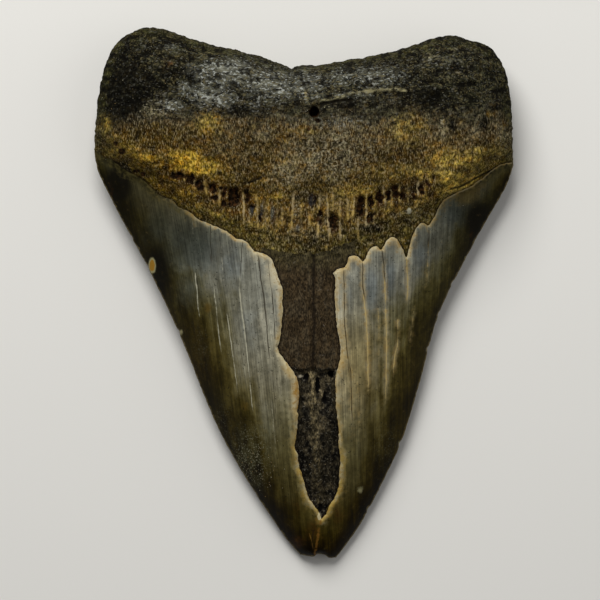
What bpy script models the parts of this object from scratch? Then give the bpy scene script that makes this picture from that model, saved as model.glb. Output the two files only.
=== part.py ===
"""Fossil megalodon tooth, one solid, lying on its labial face with the lingual face up.

X runs across the tooth, +Y points to the root and +Z out of the lingual face. The origin is on the
resting plane, under the middle of the outline. All sizes below are in millimetres.
"""

import bpy
import numpy as np
from mathutils import Vector, kdtree, noise
from mathutils.geometry import delaunay_2d_cdt

MM = 0.001

# The outline, in five smooth runs that meet at corners, seen from the lingual side
ROOT_LEFT_LOBE = [
    (-49.4, 33.8), (-49.1, 39.7), (-48.5, 45.6), (-47.3, 52.0), (-45.0, 57.5), (-41.0, 61.2),
    (-36.3, 62.6), (-31.1, 61.5), (-23.1, 58.9), (-15.1, 57.1), (-8.0, 55.0), (-2.8, 52.8),
]
ROOT_RIGHT_LOBE = [
    (-2.8, 52.8), (-1.4, 53.6), (3.3, 53.7), (10.9, 55.0), (19.4, 56.6), (25.5, 58.3),
    (31.0, 60.2), (35.0, 60.6), (39.5, 59.4), (43.5, 57.9), (46.6, 54.4), (48.4, 48.0),
    (49.1, 41.4), (49.4, 30.0),
]
CUTTING_EDGE_RIGHT = [
    (49.4, 30.0), (47.5, 24.8), (43.2, 17.3), (38.0, 7.8), (33.3, -1.6), (30.5, -9.1),
    (28.4, -17.2), (26.2, -25.2), (23.2, -34.6), (18.9, -44.1), (14.0, -53.5), (9.7, -59.9),
    (7.6, -62.5),
]
BROKEN_TIP = [(7.6, -62.5), (6.0, -62.6), (5.0, -61.3), (3.2, -61.0), (2.2, -62.3), (-0.9, -61.8)]
CUTTING_EDGE_LEFT = [
    (-0.9, -61.8), (-4.0, -58.2), (-7.3, -53.5), (-11.8, -46.7), (-16.2, -39.4), (-20.0, -32.3),
    (-23.6, -24.0), (-27.3, -14.6), (-31.6, -4.7), (-36.8, 6.0), (-42.9, 17.3), (-46.5, 24.4),
    (-48.6, 29.1), (-49.4, 33.8),
]
OUTLINE_RUNS = [
    ROOT_LEFT_LOBE, ROOT_RIGHT_LOBE, CUTTING_EDGE_RIGHT, BROKEN_TIP, CUTTING_EDGE_LEFT,
]
EDGE_CHIPS = [
    (-40.1, 13.3), (-36.5, 6.4), (-29.7, -9.2), (35.3, 2.2), (32.0, -5.0), (29.6, -13.3),
    (23.1, -35.6), (15.4, -51.0),
]
CHIP_RADIUS = 1.9
CHIP_DEPTH = 0.6

# Heights above the resting plane, as (y, z) stations from the tip to the root
LINGUAL_MIDDLE = [
    (-62.6, 4.4), (-50.0, 10.5), (-35.0, 15.4), (-17.0, 19.8), (0.0, 22.2), (12.0, 23.4),
    (22.0, 24.6), (32.0, 27.2), (41.0, 28.6), (50.0, 27.0), (63.0, 23.0),
]
LABIAL_MIDDLE = [
    (-62.6, -0.5), (-54.0, -0.5), (-46.0, 0.3), (-25.0, 1.2), (0.0, 0.9), (15.0, 0.4),
    (30.0, 0.4), (63.0, 2.4),
]
EDGE_HEIGHT = [(-62.6, 2.0), (-40.0, 3.6), (0.0, 5.4), (29.0, 6.8), (42.0, 9.4), (63.0, 9.4)]
CROWN_FULLNESS = 2.2
ROOT_SIDE_DROP = 0.40
ROOT_RIM_LINGUAL = 9.0
ROOT_RIM_LABIAL = 6.0
LABIAL_LOBE_X = 25.0
LABIAL_LOBE_Y = 36.0
LABIAL_LOBE_SPAN = 15.0
LABIAL_LOBE_DROP = 1.8
TIP_ROUNDING = 1.6

# Where crown and root meet, as (x, y) stations, and how softly the two forms join
NECK_LINGUAL = [
    (-49.4, 33.8), (-44.6, 31.2), (-37.5, 26.8), (-29.7, 20.6), (-21.9, 16.6), (-13.7, 12.6),
    (0.3, 9.2), (14.4, 11.9), (22.7, 15.4), (30.2, 19.2), (38.3, 25.1), (45.6, 30.0), (49.4, 30.8),
]
NECK_LABIAL = [
    (-49.4, 33.0), (-38.0, 26.5), (-20.0, 18.0), (0.0, 14.5), (20.0, 17.6), (38.0, 25.2),
    (49.4, 30.0),
]
NECK_BLEND = 7.0

# The enamel's lingual margin, from the left shoulder round the broken gap to the right shoulder
ENAMEL_NECK_LEFT = [
    (-48.0, 33.3), (-44.6, 31.2), (-39.8, 28.6), (-33.7, 24.5), (-29.7, 20.6), (-25.5, 18.3),
    (-18.6, 14.8), (-13.4, 12.5), (-10.1, 9.4), (-7.6, 8.6), (-6.2, 6.0),
]
GAP_LEFT = [
    (-6.2, 6.0), (-5.2, 1.2), (-5.0, -2.3), (-5.7, -11.7), (-3.7, -15.7), (-1.2, -20.4),
    (-1.0, -24.5), (-1.9, -36.1), (-1.1, -41.2), (1.1, -48.2), (3.7, -53.2),
]
GAP_RIGHT = [
    (3.7, -53.2), (5.8, -50.4), (8.5, -44.1), (8.6, -38.3), (7.8, -28.9), (7.1, -19.5),
    (8.5, -12.3), (7.2, -4.1), (7.0, 5.1),
]
ENAMEL_NECK_RIGHT = [
    (7.0, 5.1), (9.4, 5.8), (11.2, 8.7), (13.7, 7.6), (16.6, 10.9), (18.4, 10.7), (21.3, 13.6),
    (23.4, 9.2), (24.4, 9.2), (26.7, 15.8), (29.3, 16.5), (32.8, 21.9), (38.3, 24.8),
    (43.7, 28.8), (48.2, 30.5),
]
ENAMEL_RUNS = [ENAMEL_NECK_LEFT, GAP_LEFT, GAP_RIGHT, ENAMEL_NECK_RIGHT]
ENAMEL_THICKNESS = 0.9
LABIAL_ENAMEL_THICKNESS = 0.5
BROKEN_WALL = 0.6

# The lower dentine, chipped deeper below a cross step and left with a ridge down its middle
DENTINE_STEP_Y = -17.6
DENTINE_STEP_RUN = 1.4
DENTINE_DROP = 1.4
DENTINE_RIDGE = [(2.0, -19.0), (2.4, -30.0), (3.2, -42.0), (3.7, -52.0)]
DENTINE_RIDGE_RISE = 0.9
DENTINE_RIDGE_WIDTH = 1.3

# Vascular slots along the neck, as (x, y, half width, half length, depth)
SLOTS = [
    (-29.5, 27.4, 1.9, 0.9, 0.9), (-26.6, 26.5, 1.1, 1.1, 1.1), (-24.3, 25.1, 1.2, 1.4, 1.3),
    (-21.0, 24.4, 1.2, 1.1, 1.2), (-21.0, 21.8, 1.0, 1.1, 1.0), (-18.4, 23.9, 0.9, 1.3, 1.1),
    (-18.8, 20.7, 1.0, 1.3, 1.2), (-15.8, 22.2, 1.4, 2.0, 1.8), (-12.5, 23.2, 0.9, 1.4, 1.1),
    (-12.2, 19.8, 1.0, 1.5, 1.2), (-9.6, 20.4, 1.0, 1.8, 1.1), (-7.0, 18.2, 1.0, 2.0, 1.1),
    (1.0, 22.7, 0.8, 1.7, 0.9), (2.9, 19.6, 0.9, 1.9, 1.0), (6.6, 16.6, 1.3, 1.7, 1.4),
    (13.1, 21.2, 1.1, 2.4, 1.6), (15.4, 18.0, 0.9, 1.9, 1.2), (17.3, 22.3, 0.9, 1.5, 1.3),
    (20.0, 22.9, 1.0, 1.5, 1.5), (22.9, 22.9, 1.0, 1.9, 1.5), (25.5, 23.5, 0.9, 1.3, 1.2),
    (28.0, 25.0, 1.1, 1.1, 1.0),
]

# The nutrient foramen, the furrows that lead to it, and a worn dent near the left neck
FORAMEN_CENTRE = (2.4, 42.4)
FORAMEN_RADIUS = 1.5
FORAMEN_DEPTH = 4.0
FORAMEN_FLOOR_SHARE = 0.5
FURROWS = [
    [(4.2, 43.6), (6.6, 44.9), (9.7, 46.0), (13.7, 46.8), (19.2, 47.5), (25.1, 48.2)],
    [(-2.8, 52.4), (-1.1, 50.4), (0.2, 48.0), (1.6, 44.8)],
]
FURROW_DEPTH = 0.7
FURROW_WIDTH = 1.0

# Weathered lumps, as (size across, height), and the margin in which they die away to the outline
ROOT_LUMPS = [(11.0, 0.9), (5.0, 0.45)]
CROWN_LUMPS = [(24.0, 0.5)]
LUMP_MARGIN = 4.0

# How finely the faces are meshed
OUTLINE_STEP = 1.45
CONTOUR_STEP = 1.3
FURROW_STEP = 1.6
LINGUAL_GRID = 1.75
LABIAL_GRID = 4.0
GRID_CLEARANCE = 0.62
LEAST_GAP = 0.28
MARGIN_CLEARANCE = 0.5
RING_SHARE_KEPT = 0.9
SLOT_RIM_POINTS = 7
FORAMEN_RIM_POINTS = 10
CURVE_PIECES = 12
LINGUAL_ROOT_RINGS = (0.3, 1.2, 2.9, 5.2)
LINGUAL_CROWN_RINGS = (0.9,)
LABIAL_ROOT_RINGS = (0.4, 1.7, 4.0)
LABIAL_CROWN_RINGS = (2.2,)

# Principled materials, as (linear base colour, roughness)
ENAMEL = ("enamel", (0.075, 0.078, 0.062), 0.28)
ROOT = ("root", (0.070, 0.050, 0.022), 0.70)
DENTINE = ("dentine", (0.020, 0.016, 0.012), 0.60)


def smooth_run(points, step):
    """Points every step or so along a Catmull-Rom curve through the given points, ends included."""
    points = np.array(points)
    padded = np.vstack([2 * points[0] - points[1], points, 2 * points[-1] - points[-2]])
    share = np.linspace(0.0, 1.0, CURVE_PIECES, endpoint=False)[:, None]
    dense = []
    for a, b, c, d in zip(padded, padded[1:], padded[2:], padded[3:]):
        bend = (3 * b - a - 3 * c + d) * share**3 + (2 * a - 5 * b + 4 * c - d) * share**2
        dense.append(0.5 * (2 * b + (c - a) * share + bend))
    dense = np.vstack([*dense, points[-1]])
    length = np.concatenate([[0.0], np.cumsum(np.hypot(*np.diff(dense, axis=0).T))])
    stations = np.linspace(0.0, length[-1], max(2, round(length[-1] / step) + 1))
    return np.column_stack([np.interp(stations, length, dense[:, axis]) for axis in (0, 1)])


def joined_runs(runs, step):
    """Smooth runs end to end, each shared corner once."""
    sampled = [smooth_run(run, step) for run in runs]
    return np.vstack([*(run[:-1] for run in sampled), sampled[-1][-1:]])


def station_height(stations, at):
    """A smooth curve through (place, height) stations, read at the given places."""
    place, height = np.array(stations).T
    slope = np.gradient(height, place)
    at = np.clip(at, place[0], place[-1])
    left = np.clip(np.searchsorted(place, at) - 1, 0, len(place) - 2)
    span = place[left + 1] - place[left]
    s = (at - place[left]) / span
    ends = height[left] * (1 - s) ** 2 * (1 + 2 * s) + height[left + 1] * s**2 * (3 - 2 * s)
    return ends + span * (slope[left] * s * (1 - s) ** 2 - slope[left + 1] * s**2 * (1 - s))


def smoothstep(value):
    value = np.clip(value, 0.0, 1.0)
    return value * value * (3 - 2 * value)


def quarter_round(share):
    """How high a rounded rim has risen, from 0 at its outer edge to 1 at its top."""
    return np.sqrt(1 - (1 - np.clip(share, 0.0, 1.0)) ** 2)


def distance_to(line, at):
    """Distance from each point to a polyline."""
    start, along = line[:-1], np.diff(line, axis=0)
    offset = at[:, None, :] - start[None]
    share = (offset * along).sum(axis=2) / (along**2).sum(axis=1)
    nearest = offset - np.clip(share, 0.0, 1.0)[:, :, None] * along
    return np.sqrt((nearest**2).sum(axis=2).min(axis=1))


def inside(loop, at):
    """Whether each point lies inside a closed loop, by counting crossings."""
    crossings = np.zeros(len(at), int)
    for (x0, y0), (x1, y1) in zip(loop, np.roll(loop, -1, axis=0)):
        spans = (y0 > at[:, 1]) != (y1 > at[:, 1])
        if y0 != y1:
            crossings += spans & (at[:, 0] < x0 + (at[:, 1] - y0) * (x1 - x0) / (y1 - y0))
    return crossings % 2 == 1


def chipped_outline():
    """The closed outline with the small chips taken out of its edges, centred on the origin."""
    loop = joined_runs(OUTLINE_RUNS, OUTLINE_STEP)[:-1]
    along = np.roll(loop, -1, axis=0) - np.roll(loop, 1, axis=0)
    inwards = np.column_stack([along[:, 1], -along[:, 0]]) / np.hypot(*along.T)[:, None]
    for chip in EDGE_CHIPS:
        share = np.clip(1 - (np.hypot(*(loop - chip).T) / CHIP_RADIUS) ** 2, 0.0, 1.0)
        loop = loop + inwards * (CHIP_DEPTH * share)[:, None]
    return loop - (loop.min(axis=0) + loop.max(axis=0)) / 2


OUTLINE = chipped_outline()
OUTLINE_LOOP = np.vstack([OUTLINE, OUTLINE[:1]])
TIP_LINE = smooth_run(BROKEN_TIP, CONTOUR_STEP)
ENAMEL_MARGIN = joined_runs(ENAMEL_RUNS, CONTOUR_STEP)
AROUND_ROOT = [(60.0, 31.0), (60.0, 80.0), (-60.0, 80.0), (-60.0, 34.0)]
ROOT_SIDE = np.vstack([ENAMEL_MARGIN, AROUND_ROOT])


def enamel_depth(at):
    """How far each point lies inside the lingual enamel's margin, negative outside it."""
    return np.where(inside(ROOT_SIDE, at), -1.0, 1.0) * distance_to(ENAMEL_MARGIN, at)


def across(at):
    """Place across the crown, from -1 at the left cutting edge to 1 at the right one."""
    left_y, left_x = np.array(CUTTING_EDGE_LEFT)[:, ::-1].T
    right_y, right_x = np.array(CUTTING_EDGE_RIGHT)[::-1, ::-1].T
    left = np.interp(at[:, 1], left_y, left_x)
    right = np.interp(at[:, 1], right_y, right_x)
    return np.clip((2 * at[:, 0] - left - right) / (right - left), -1.0, 1.0)


def lumps(at, sizes):
    """Rounded weathering, the same each time for the same place."""
    height = np.zeros(len(at))
    for size, rise in sizes:
        height += rise * np.array([noise.noise(Vector((x / size, y / size, size))) for x, y in at])
    return height


def lingual_height(at):
    """The upper face: domed crown, thick root with a round rim, enamel step, slots and foramen."""
    x, y = at.T
    rim = distance_to(OUTLINE_LOOP, at)
    edge = station_height(EDGE_HEIGHT, y)
    middle = station_height(LINGUAL_MIDDLE, y)
    blunt = quarter_round(distance_to(TIP_LINE, at) / TIP_ROUNDING)
    crown = edge + (middle - edge) * (1 - np.abs(across(at)) ** CROWN_FULLNESS) * blunt
    half_width = OUTLINE[:, 0].max()
    plateau = middle * (1 - ROOT_SIDE_DROP * (x / half_width) ** 2)
    root = edge + (plateau - edge) * quarter_round(rim / ROOT_RIM_LINGUAL)
    above_neck = y - station_height(NECK_LINGUAL, x)
    is_root = smoothstep((above_neck + 1.0) / NECK_BLEND)
    depth = enamel_depth(at)
    fade = smoothstep(rim / LUMP_MARGIN)
    height = crown * (1 - is_root) + root * is_root
    height -= ENAMEL_THICKNESS * (1 - smoothstep(depth / BROKEN_WALL)) * (1 - is_root) * fade
    from_ridge = distance_to(smooth_run(DENTINE_RIDGE, CONTOUR_STEP), at) / DENTINE_RIDGE_WIDTH
    ridge = DENTINE_RIDGE_RISE * np.exp(-(from_ridge**2))
    chipped = smoothstep((DENTINE_STEP_Y - y) / DENTINE_STEP_RUN)
    chipped *= smoothstep(-depth / DENTINE_RIDGE_WIDTH)
    height -= chipped * (DENTINE_DROP - ridge)
    for slot_x, slot_y, half_across, half_along, deep in SLOTS:
        reach = ((x - slot_x) / half_across) ** 2 + ((y - slot_y) / half_along) ** 2
        height -= deep * np.clip(1 - reach, 0.0, 1.0)
    foramen = np.hypot(x - FORAMEN_CENTRE[0], y - FORAMEN_CENTRE[1]) / FORAMEN_RADIUS
    height -= FORAMEN_DEPTH * smoothstep((1 - foramen) / (1 - FORAMEN_FLOOR_SHARE))
    for furrow in FURROWS:
        away = distance_to(smooth_run(furrow, FURROW_STEP), at) / FURROW_WIDTH
        height -= FURROW_DEPTH * np.exp(-(away**2)) * fade
    height += fade * (is_root * lumps(at, ROOT_LUMPS) + (1 - is_root) * lumps(at, CROWN_LUMPS))
    return height


def labial_height(at):
    """The lower face: nearly flat, lifted to the edges, cut off flat where it meets the ground."""
    x, y = at.T
    rim = distance_to(OUTLINE_LOOP, at)
    edge = station_height(EDGE_HEIGHT, y)
    middle = station_height(LABIAL_MIDDLE, y)
    blunt = quarter_round(distance_to(TIP_LINE, at) / TIP_ROUNDING)
    crown = edge + (middle - edge) * (1 - np.abs(across(at)) ** CROWN_FULLNESS) * blunt
    from_lobe = ((np.abs(x) - LABIAL_LOBE_X) ** 2 + (y - LABIAL_LOBE_Y) ** 2) / LABIAL_LOBE_SPAN**2
    plateau = middle - LABIAL_LOBE_DROP * np.exp(-from_lobe)
    root = edge + (plateau - edge) * quarter_round(rim / ROOT_RIM_LABIAL)
    above_neck = y - station_height(NECK_LABIAL, x)
    is_root = smoothstep((above_neck + 1.0) / NECK_BLEND)
    height = crown * (1 - is_root) + root * is_root
    step = LABIAL_ENAMEL_THICKNESS * smoothstep(above_neck / BROKEN_WALL)
    return np.maximum(height + step * smoothstep(rim / LUMP_MARGIN), 0.0)


def ring(centre, half_across, half_along, count):
    angle = np.arange(count) * 2 * np.pi / count
    return np.column_stack(
        [centre[0] + half_across * np.cos(angle), centre[1] + half_along * np.sin(angle)]
    )


def rim_rings(root_offsets, crown_offsets):
    """Points at set distances inside the outline, so that both rims keep their rounding."""
    along = np.roll(OUTLINE, -1, axis=0) - np.roll(OUTLINE, 1, axis=0)
    inwards = np.column_stack([along[:, 1], -along[:, 0]]) / np.hypot(*along.T)[:, None]
    on_root = OUTLINE[:, 1] > station_height(NECK_LINGUAL, OUTLINE[:, 0])
    rings = []
    for offsets, chosen in ((root_offsets, on_root), (crown_offsets, ~on_root)):
        for offset in offsets:
            moved = (OUTLINE + offset * inwards)[chosen]
            clear = distance_to(OUTLINE_LOOP, moved) > RING_SHARE_KEPT * offset
            kept = inside(OUTLINE, moved) & clear
            rings.append(moved[kept])
    return np.vstack(rings)


def lingual_features():
    """Points that the lingual mesh must hold, apart from the outline and the enamel margin."""
    margin_along = np.gradient(ENAMEL_MARGIN, axis=0)
    outwards = np.column_stack([margin_along[:, 1], -margin_along[:, 0]])
    wall_top = ENAMEL_MARGIN + BROKEN_WALL * outwards / np.hypot(*margin_along.T)[:, None]
    wall_top = wall_top[enamel_depth(wall_top) > RING_SHARE_KEPT * BROKEN_WALL]
    features = [rim_rings(LINGUAL_ROOT_RINGS, LINGUAL_CROWN_RINGS), wall_top]
    features.append(smooth_run(DENTINE_RIDGE, FURROW_STEP))
    features += [smooth_run(furrow, FURROW_STEP) for furrow in FURROWS]
    for slot_x, slot_y, half_across, half_along, _ in SLOTS:
        features.append(ring((slot_x, slot_y), half_across, half_along, SLOT_RIM_POINTS))
        features.append(np.array([(slot_x, slot_y)]))
    for radius in (FORAMEN_RADIUS, FORAMEN_FLOOR_SHARE * FORAMEN_RADIUS):
        features.append(ring(FORAMEN_CENTRE, radius, radius, FORAMEN_RIM_POINTS))
    return np.vstack(features)


def labial_features():
    """Points that the labial mesh must hold: its rims and both sides of the step at the neck."""
    neck = smooth_run(NECK_LABIAL, FURROW_STEP)
    wall_top = neck + (0.0, BROKEN_WALL)
    return np.vstack([rim_rings(LABIAL_ROOT_RINGS, LABIAL_CROWN_RINGS), neck, wall_top])


def grid(spacing):
    """A triangular grid of points over the whole outline."""
    row_height = spacing * np.sqrt(3) / 2
    low, high = OUTLINE.min(axis=0), OUTLINE.max(axis=0)
    rows = np.arange(low[1], high[1], row_height)
    points = [
        (x, y)
        for number, y in enumerate(rows)
        for x in np.arange(low[0] + (number % 2) * spacing / 2, high[0], spacing)
    ]
    return np.array(points)


def thinned(candidates, taken, clearance):
    """The candidates that keep their distance from the points already taken."""
    tree = kdtree.KDTree(len(taken))
    for number, point in enumerate(taken):
        tree.insert((*point, 0.0), number)
    tree.balance()
    kept = [point for point in candidates if tree.find((*point, 0.0))[2] > clearance]
    return np.array(kept)


def triangulate(features, margin, spacing):
    """A flat triangle mesh of the outline that holds every feature point, the outline first."""
    if len(margin):
        margin = margin[distance_to(OUTLINE_LOOP, margin) > MARGIN_CLEARANCE]
    fixed = np.vstack([OUTLINE, margin])
    features = features[inside(OUTLINE, features)]
    features = thinned(features, fixed, LEAST_GAP)
    filling = grid(spacing)
    filling = filling[inside(OUTLINE, filling)]
    filling = thinned(filling, np.vstack([fixed, features]), GRID_CLEARANCE * spacing)
    points = np.vstack([fixed, features, filling])
    count = len(OUTLINE)
    edges = [(number, (number + 1) % count) for number in range(count)]
    edges += [(count + number, count + number + 1) for number in range(len(margin) - 1)]
    made = delaunay_2d_cdt([Vector(point) for point in points], edges, [], 0, 1e-5)
    places = np.array([tuple(place) for place in made[0]])
    faces = np.array(made[2])
    faces = faces[inside(OUTLINE, places[faces].mean(axis=1))]
    return places, faces


def closed_surface():
    """The two faces lifted to their heights and joined along the outline they share."""
    upper, upper_faces = triangulate(lingual_features(), ENAMEL_MARGIN, LINGUAL_GRID)
    lower, lower_faces = triangulate(labial_features(), np.zeros((0, 2)), LABIAL_GRID)
    count = len(OUTLINE)
    edge = station_height(EDGE_HEIGHT, upper[:count, 1])
    upper_z = np.concatenate([edge, lingual_height(upper[count:])])
    lower_z = labial_height(lower[count:])
    top = np.column_stack([upper, upper_z])
    bottom = np.column_stack([lower[count:], lower_z])
    shifted = np.where(lower_faces < count, lower_faces, lower_faces + len(upper) - count)
    return np.vstack([top, bottom]), np.vstack([upper_faces, shifted[:, ::-1]])


def principled(name, colour, roughness):
    material = bpy.data.materials.new(name)
    material.use_nodes = True
    shader = material.node_tree.nodes["Principled BSDF"]
    shader.inputs["Base Color"].default_value = (*colour, 1.0)
    shader.inputs["Roughness"].default_value = roughness
    shader.inputs["Metallic"].default_value = 0.0
    return material


def paint(mesh):
    """Enamel, root or dentine on each face, by where its middle lies."""
    middles = np.array([tuple(face.center) for face in mesh.polygons]) / MM
    upward = np.array([face.normal.z > 0 for face in mesh.polygons])
    flat = middles[:, :2]
    above = flat[:, 1] - station_height(NECK_LINGUAL, flat[:, 0])
    below_labial_neck = flat[:, 1] < station_height(NECK_LABIAL, flat[:, 0])
    enamel = np.where(upward, enamel_depth(flat) > 0, below_labial_neck)
    choice = np.where(enamel, 0, np.where(upward & (above < 0), 2, 1))
    for values in (ENAMEL, ROOT, DENTINE):
        mesh.materials.append(principled(*values))
    mesh.polygons.foreach_set("material_index", choice)


def build_tooth():
    points, faces = closed_surface()
    mesh = bpy.data.meshes.new("tooth")
    mesh.from_pydata((points * MM).tolist(), [], faces.tolist())
    mesh.update()
    paint(mesh)
    mesh.shade_smooth()
    tooth = bpy.data.objects.new("tooth", mesh)
    bpy.context.scene.collection.objects.link(tooth)


for obj in list(bpy.data.objects):
    bpy.data.objects.remove(obj, do_unlink=True)
build_tooth()
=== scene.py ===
"""Fossil megalodon tooth, lying on its labial face on a pale floor and seen from straight above.

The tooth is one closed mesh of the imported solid's own form, meshed finely enough for its cracks, its
vascular slots and its bony grain. Its heights and the fields that its materials read are worked out
point by point. Sediment grains are scattered over it. Sizes are in millimetres until a mesh is made,
and +Y points to the root.
"""

import bpy
import numpy as np
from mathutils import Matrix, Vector, kdtree, noise
from mathutils.geometry import delaunay_2d_cdt


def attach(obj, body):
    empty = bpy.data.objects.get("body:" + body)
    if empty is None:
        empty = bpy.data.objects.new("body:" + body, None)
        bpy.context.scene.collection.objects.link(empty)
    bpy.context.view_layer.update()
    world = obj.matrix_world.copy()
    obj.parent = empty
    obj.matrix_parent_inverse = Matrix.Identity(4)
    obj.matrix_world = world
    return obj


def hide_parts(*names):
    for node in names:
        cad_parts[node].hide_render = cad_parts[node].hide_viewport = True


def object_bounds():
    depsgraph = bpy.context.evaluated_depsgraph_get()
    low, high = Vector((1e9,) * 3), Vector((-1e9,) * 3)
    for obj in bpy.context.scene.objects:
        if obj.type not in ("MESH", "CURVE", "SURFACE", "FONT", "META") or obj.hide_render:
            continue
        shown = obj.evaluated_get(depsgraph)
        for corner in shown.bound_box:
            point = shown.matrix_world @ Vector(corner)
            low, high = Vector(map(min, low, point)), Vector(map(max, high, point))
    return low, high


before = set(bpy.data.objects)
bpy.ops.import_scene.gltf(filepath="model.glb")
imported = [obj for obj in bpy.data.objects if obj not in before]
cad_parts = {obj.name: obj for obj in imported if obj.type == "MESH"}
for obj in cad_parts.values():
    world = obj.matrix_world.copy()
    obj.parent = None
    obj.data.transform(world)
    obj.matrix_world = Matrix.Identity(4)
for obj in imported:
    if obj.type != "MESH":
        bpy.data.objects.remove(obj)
CAD_LOW, CAD_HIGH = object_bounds()

bl_info = {
    "name": "Fossil megalodon tooth",
    "version": (1, 0, 0),
    "blender": (4, 5, 0),
    "location": "3D View > Sidebar > Fossil",
    "description": "Builds a fossil shark tooth, its sediment grains and a plain studio stage",
    "category": "Object",
}

MM = 0.001
CM2_PER_M2 = 1e4

# The outline, in five smooth runs that meet at corners, seen from the lingual side
ROOT_LEFT_LOBE = [
    (-49.4, 33.8), (-49.1, 39.7), (-48.5, 45.6), (-47.3, 52), (-45, 57.5), (-41, 61.2), (-36.3, 62.6),
    (-31.1, 61.5), (-23.1, 58.9), (-15.1, 57.1), (-8, 55), (-2.8, 52.8),
]
ROOT_RIGHT_LOBE = [
    (-2.8, 52.8), (-1.4, 53.6), (3.3, 53.7), (10.9, 55), (19.4, 56.6), (25.5, 58.3), (31, 60.2),
    (35, 60.6), (39.5, 59.4), (43.5, 57.9), (46.6, 54.4), (48.4, 48), (49.1, 41.4), (49.4, 30),
]
CUTTING_EDGE_RIGHT = [
    (49.4, 30), (47.5, 24.8), (43.2, 17.3), (38, 7.8), (33.3, -1.6), (30.5, -9.1), (28.4, -17.2),
    (26.2, -25.2), (23.2, -34.6), (18.9, -44.1), (14, -53.5), (9.7, -59.9), (7.6, -62.5),
]
BROKEN_TIP = [(7.6, -62.5), (6, -62.6), (5, -61.9), (3.2, -61.7), (2.2, -62.3), (-0.9, -61.8)]
CUTTING_EDGE_LEFT = [
    (-0.9, -61.8), (-4, -58.2), (-7.3, -53.5), (-11.8, -46.7), (-16.2, -39.4), (-20, -32.3),
    (-23.6, -24), (-27.3, -14.6), (-31.6, -4.7), (-36.8, 6), (-42.9, 17.3), (-46.5, 24.4), (-48.6, 29.1),
    (-49.4, 33.8),
]
OUTLINE_RUNS = [
    ROOT_LEFT_LOBE, ROOT_RIGHT_LOBE, CUTTING_EDGE_RIGHT, BROKEN_TIP, CUTTING_EDGE_LEFT,
]
EDGE_CHIPS = [
    (-40.1, 13.3), (-36.5, 6.4), (-29.7, -9.2), (35.3, 2.2), (32, -5), (29.6, -13.3), (23.1, -35.6),
    (15.4, -51),
]
CHIP_RADIUS = 0.9
CHIP_DEPTH = 0.25
ROOT_WEAR = 0.30
CROWN_WEAR = 0.10
BOX_CLEARANCE = 0.01

# Heights above the resting plane, as (y, z) stations from the tip to the root
LINGUAL_MIDDLE = [
    (-62.6, 4.4), (-50, 10.5), (-35, 15.4), (-17, 19.8), (0, 22.2), (12, 23.4), (22, 24.6), (32, 27.2),
    (41, 28.6), (50, 27), (63, 23),
]
LABIAL_MIDDLE = [
    (-62.6, -0.5), (-54, -0.5), (-46, 0.3), (-25, 1.2), (0, 0.9), (15, 0.4), (30, 0.4), (63, 2.4),
]
EDGE_HEIGHT = [(-62.6, 2), (-40, 3.6), (0, 5.4), (29, 6.8), (42, 9.4), (63, 9.4)]
CROWN_FULLNESS = 2.2
ROOT_SIDE_DROP = 0.40
ROOT_RIM_LINGUAL = 9.0
ROOT_RIM_LABIAL = 6.0
LABIAL_LOBE_X = 25.0
LABIAL_LOBE_Y = 36.0
LABIAL_LOBE_SPAN = 15.0
LABIAL_LOBE_DROP = 1.8
TIP_ROUNDING = 1.6

# Where crown and root meet, as (x, y) stations, and how softly the two forms join
NECK_LINGUAL = [
    (-49.4, 33.8), (-44.6, 31.2), (-37.5, 26.8), (-29.7, 20.6), (-21.9, 16.6), (-13.7, 12.6), (0.3, 9.2),
    (14.4, 11.9), (22.7, 15.4), (30.2, 19.2), (38.3, 25.1), (45.6, 30), (49.4, 30.8),
]
NECK_LABIAL = [(-49.4, 33), (-38, 26.5), (-20, 18), (0, 14.5), (20, 17.6), (38, 25.2), (49.4, 30)]
NECK_BLEND = 7.0
NECK_START = 1.0

# The enamel's lingual margin, from the left shoulder round the broken gap to the right shoulder
ENAMEL_NECK_LEFT = [
    (-48, 33.3), (-47.4, 32.1), (-45.4, 31.4), (-42.9, 29.6), (-40.9, 28.3), (-38.8, 27.3),
    (-36.8, 25.8), (-34.8, 23.8), (-33.2, 22.6), (-31.7, 22.1), (-30.5, 21.5), (-29.8, 20.5),
    (-28.2, 19.6), (-26.7, 19), (-25.5, 18), (-24.4, 17.1), (-22.8, 16.5), (-20.9, 15.7), (-19, 14.9),
    (-17.4, 14), (-15.9, 12.8), (-14.3, 12.4), (-13.2, 11.8), (-12.4, 10.7), (-11.3, 9.7), (-9.7, 9.3),
    (-8.6, 8.8), (-7.4, 7.6), (-6.8, 6.1),
]
GAP_LEFT = [
    (-6.8, 6.1), (-6.1, 4.1), (-5.5, 2.2), (-4.9, 0.3), (-5.1, -2), (-4.9, -4), (-5.2, -7.1),
    (-5.5, -10.2), (-6.1, -12.9), (-5.1, -14.8), (-3.6, -16.8), (-2.2, -18.7), (-1.4, -20.6),
    (-1.1, -22.5), (-1.1, -24.5), (-1.5, -27), (-1.4, -28.8), (-1.6, -32), (-2.1, -36.1), (-1.4, -37.9),
    (-1.2, -40.2), (-0.5, -42.5), (0.2, -44.8), (0.9, -47.5), (2.3, -49.8), (3.4, -51.2), (4.1, -53),
]
GAP_RIGHT = [
    (4.1, -53), (5.2, -51.9), (6.1, -49.8), (7.5, -47.5), (8.2, -45.2), (8.4, -42), (8.6, -38.9),
    (8.2, -35.6), (8.2, -32), (7.7, -28.3), (7.5, -25.1), (7.4, -22.8), (7.4, -19.7), (8, -17.4),
    (8.5, -15.1), (8.5, -12), (8, -9.4), (7.6, -6.6), (7.4, -3.6), (7.2, -0.5), (7.4, 2.2), (7.2, 3.8),
    (6.8, 4.8),
]
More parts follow.
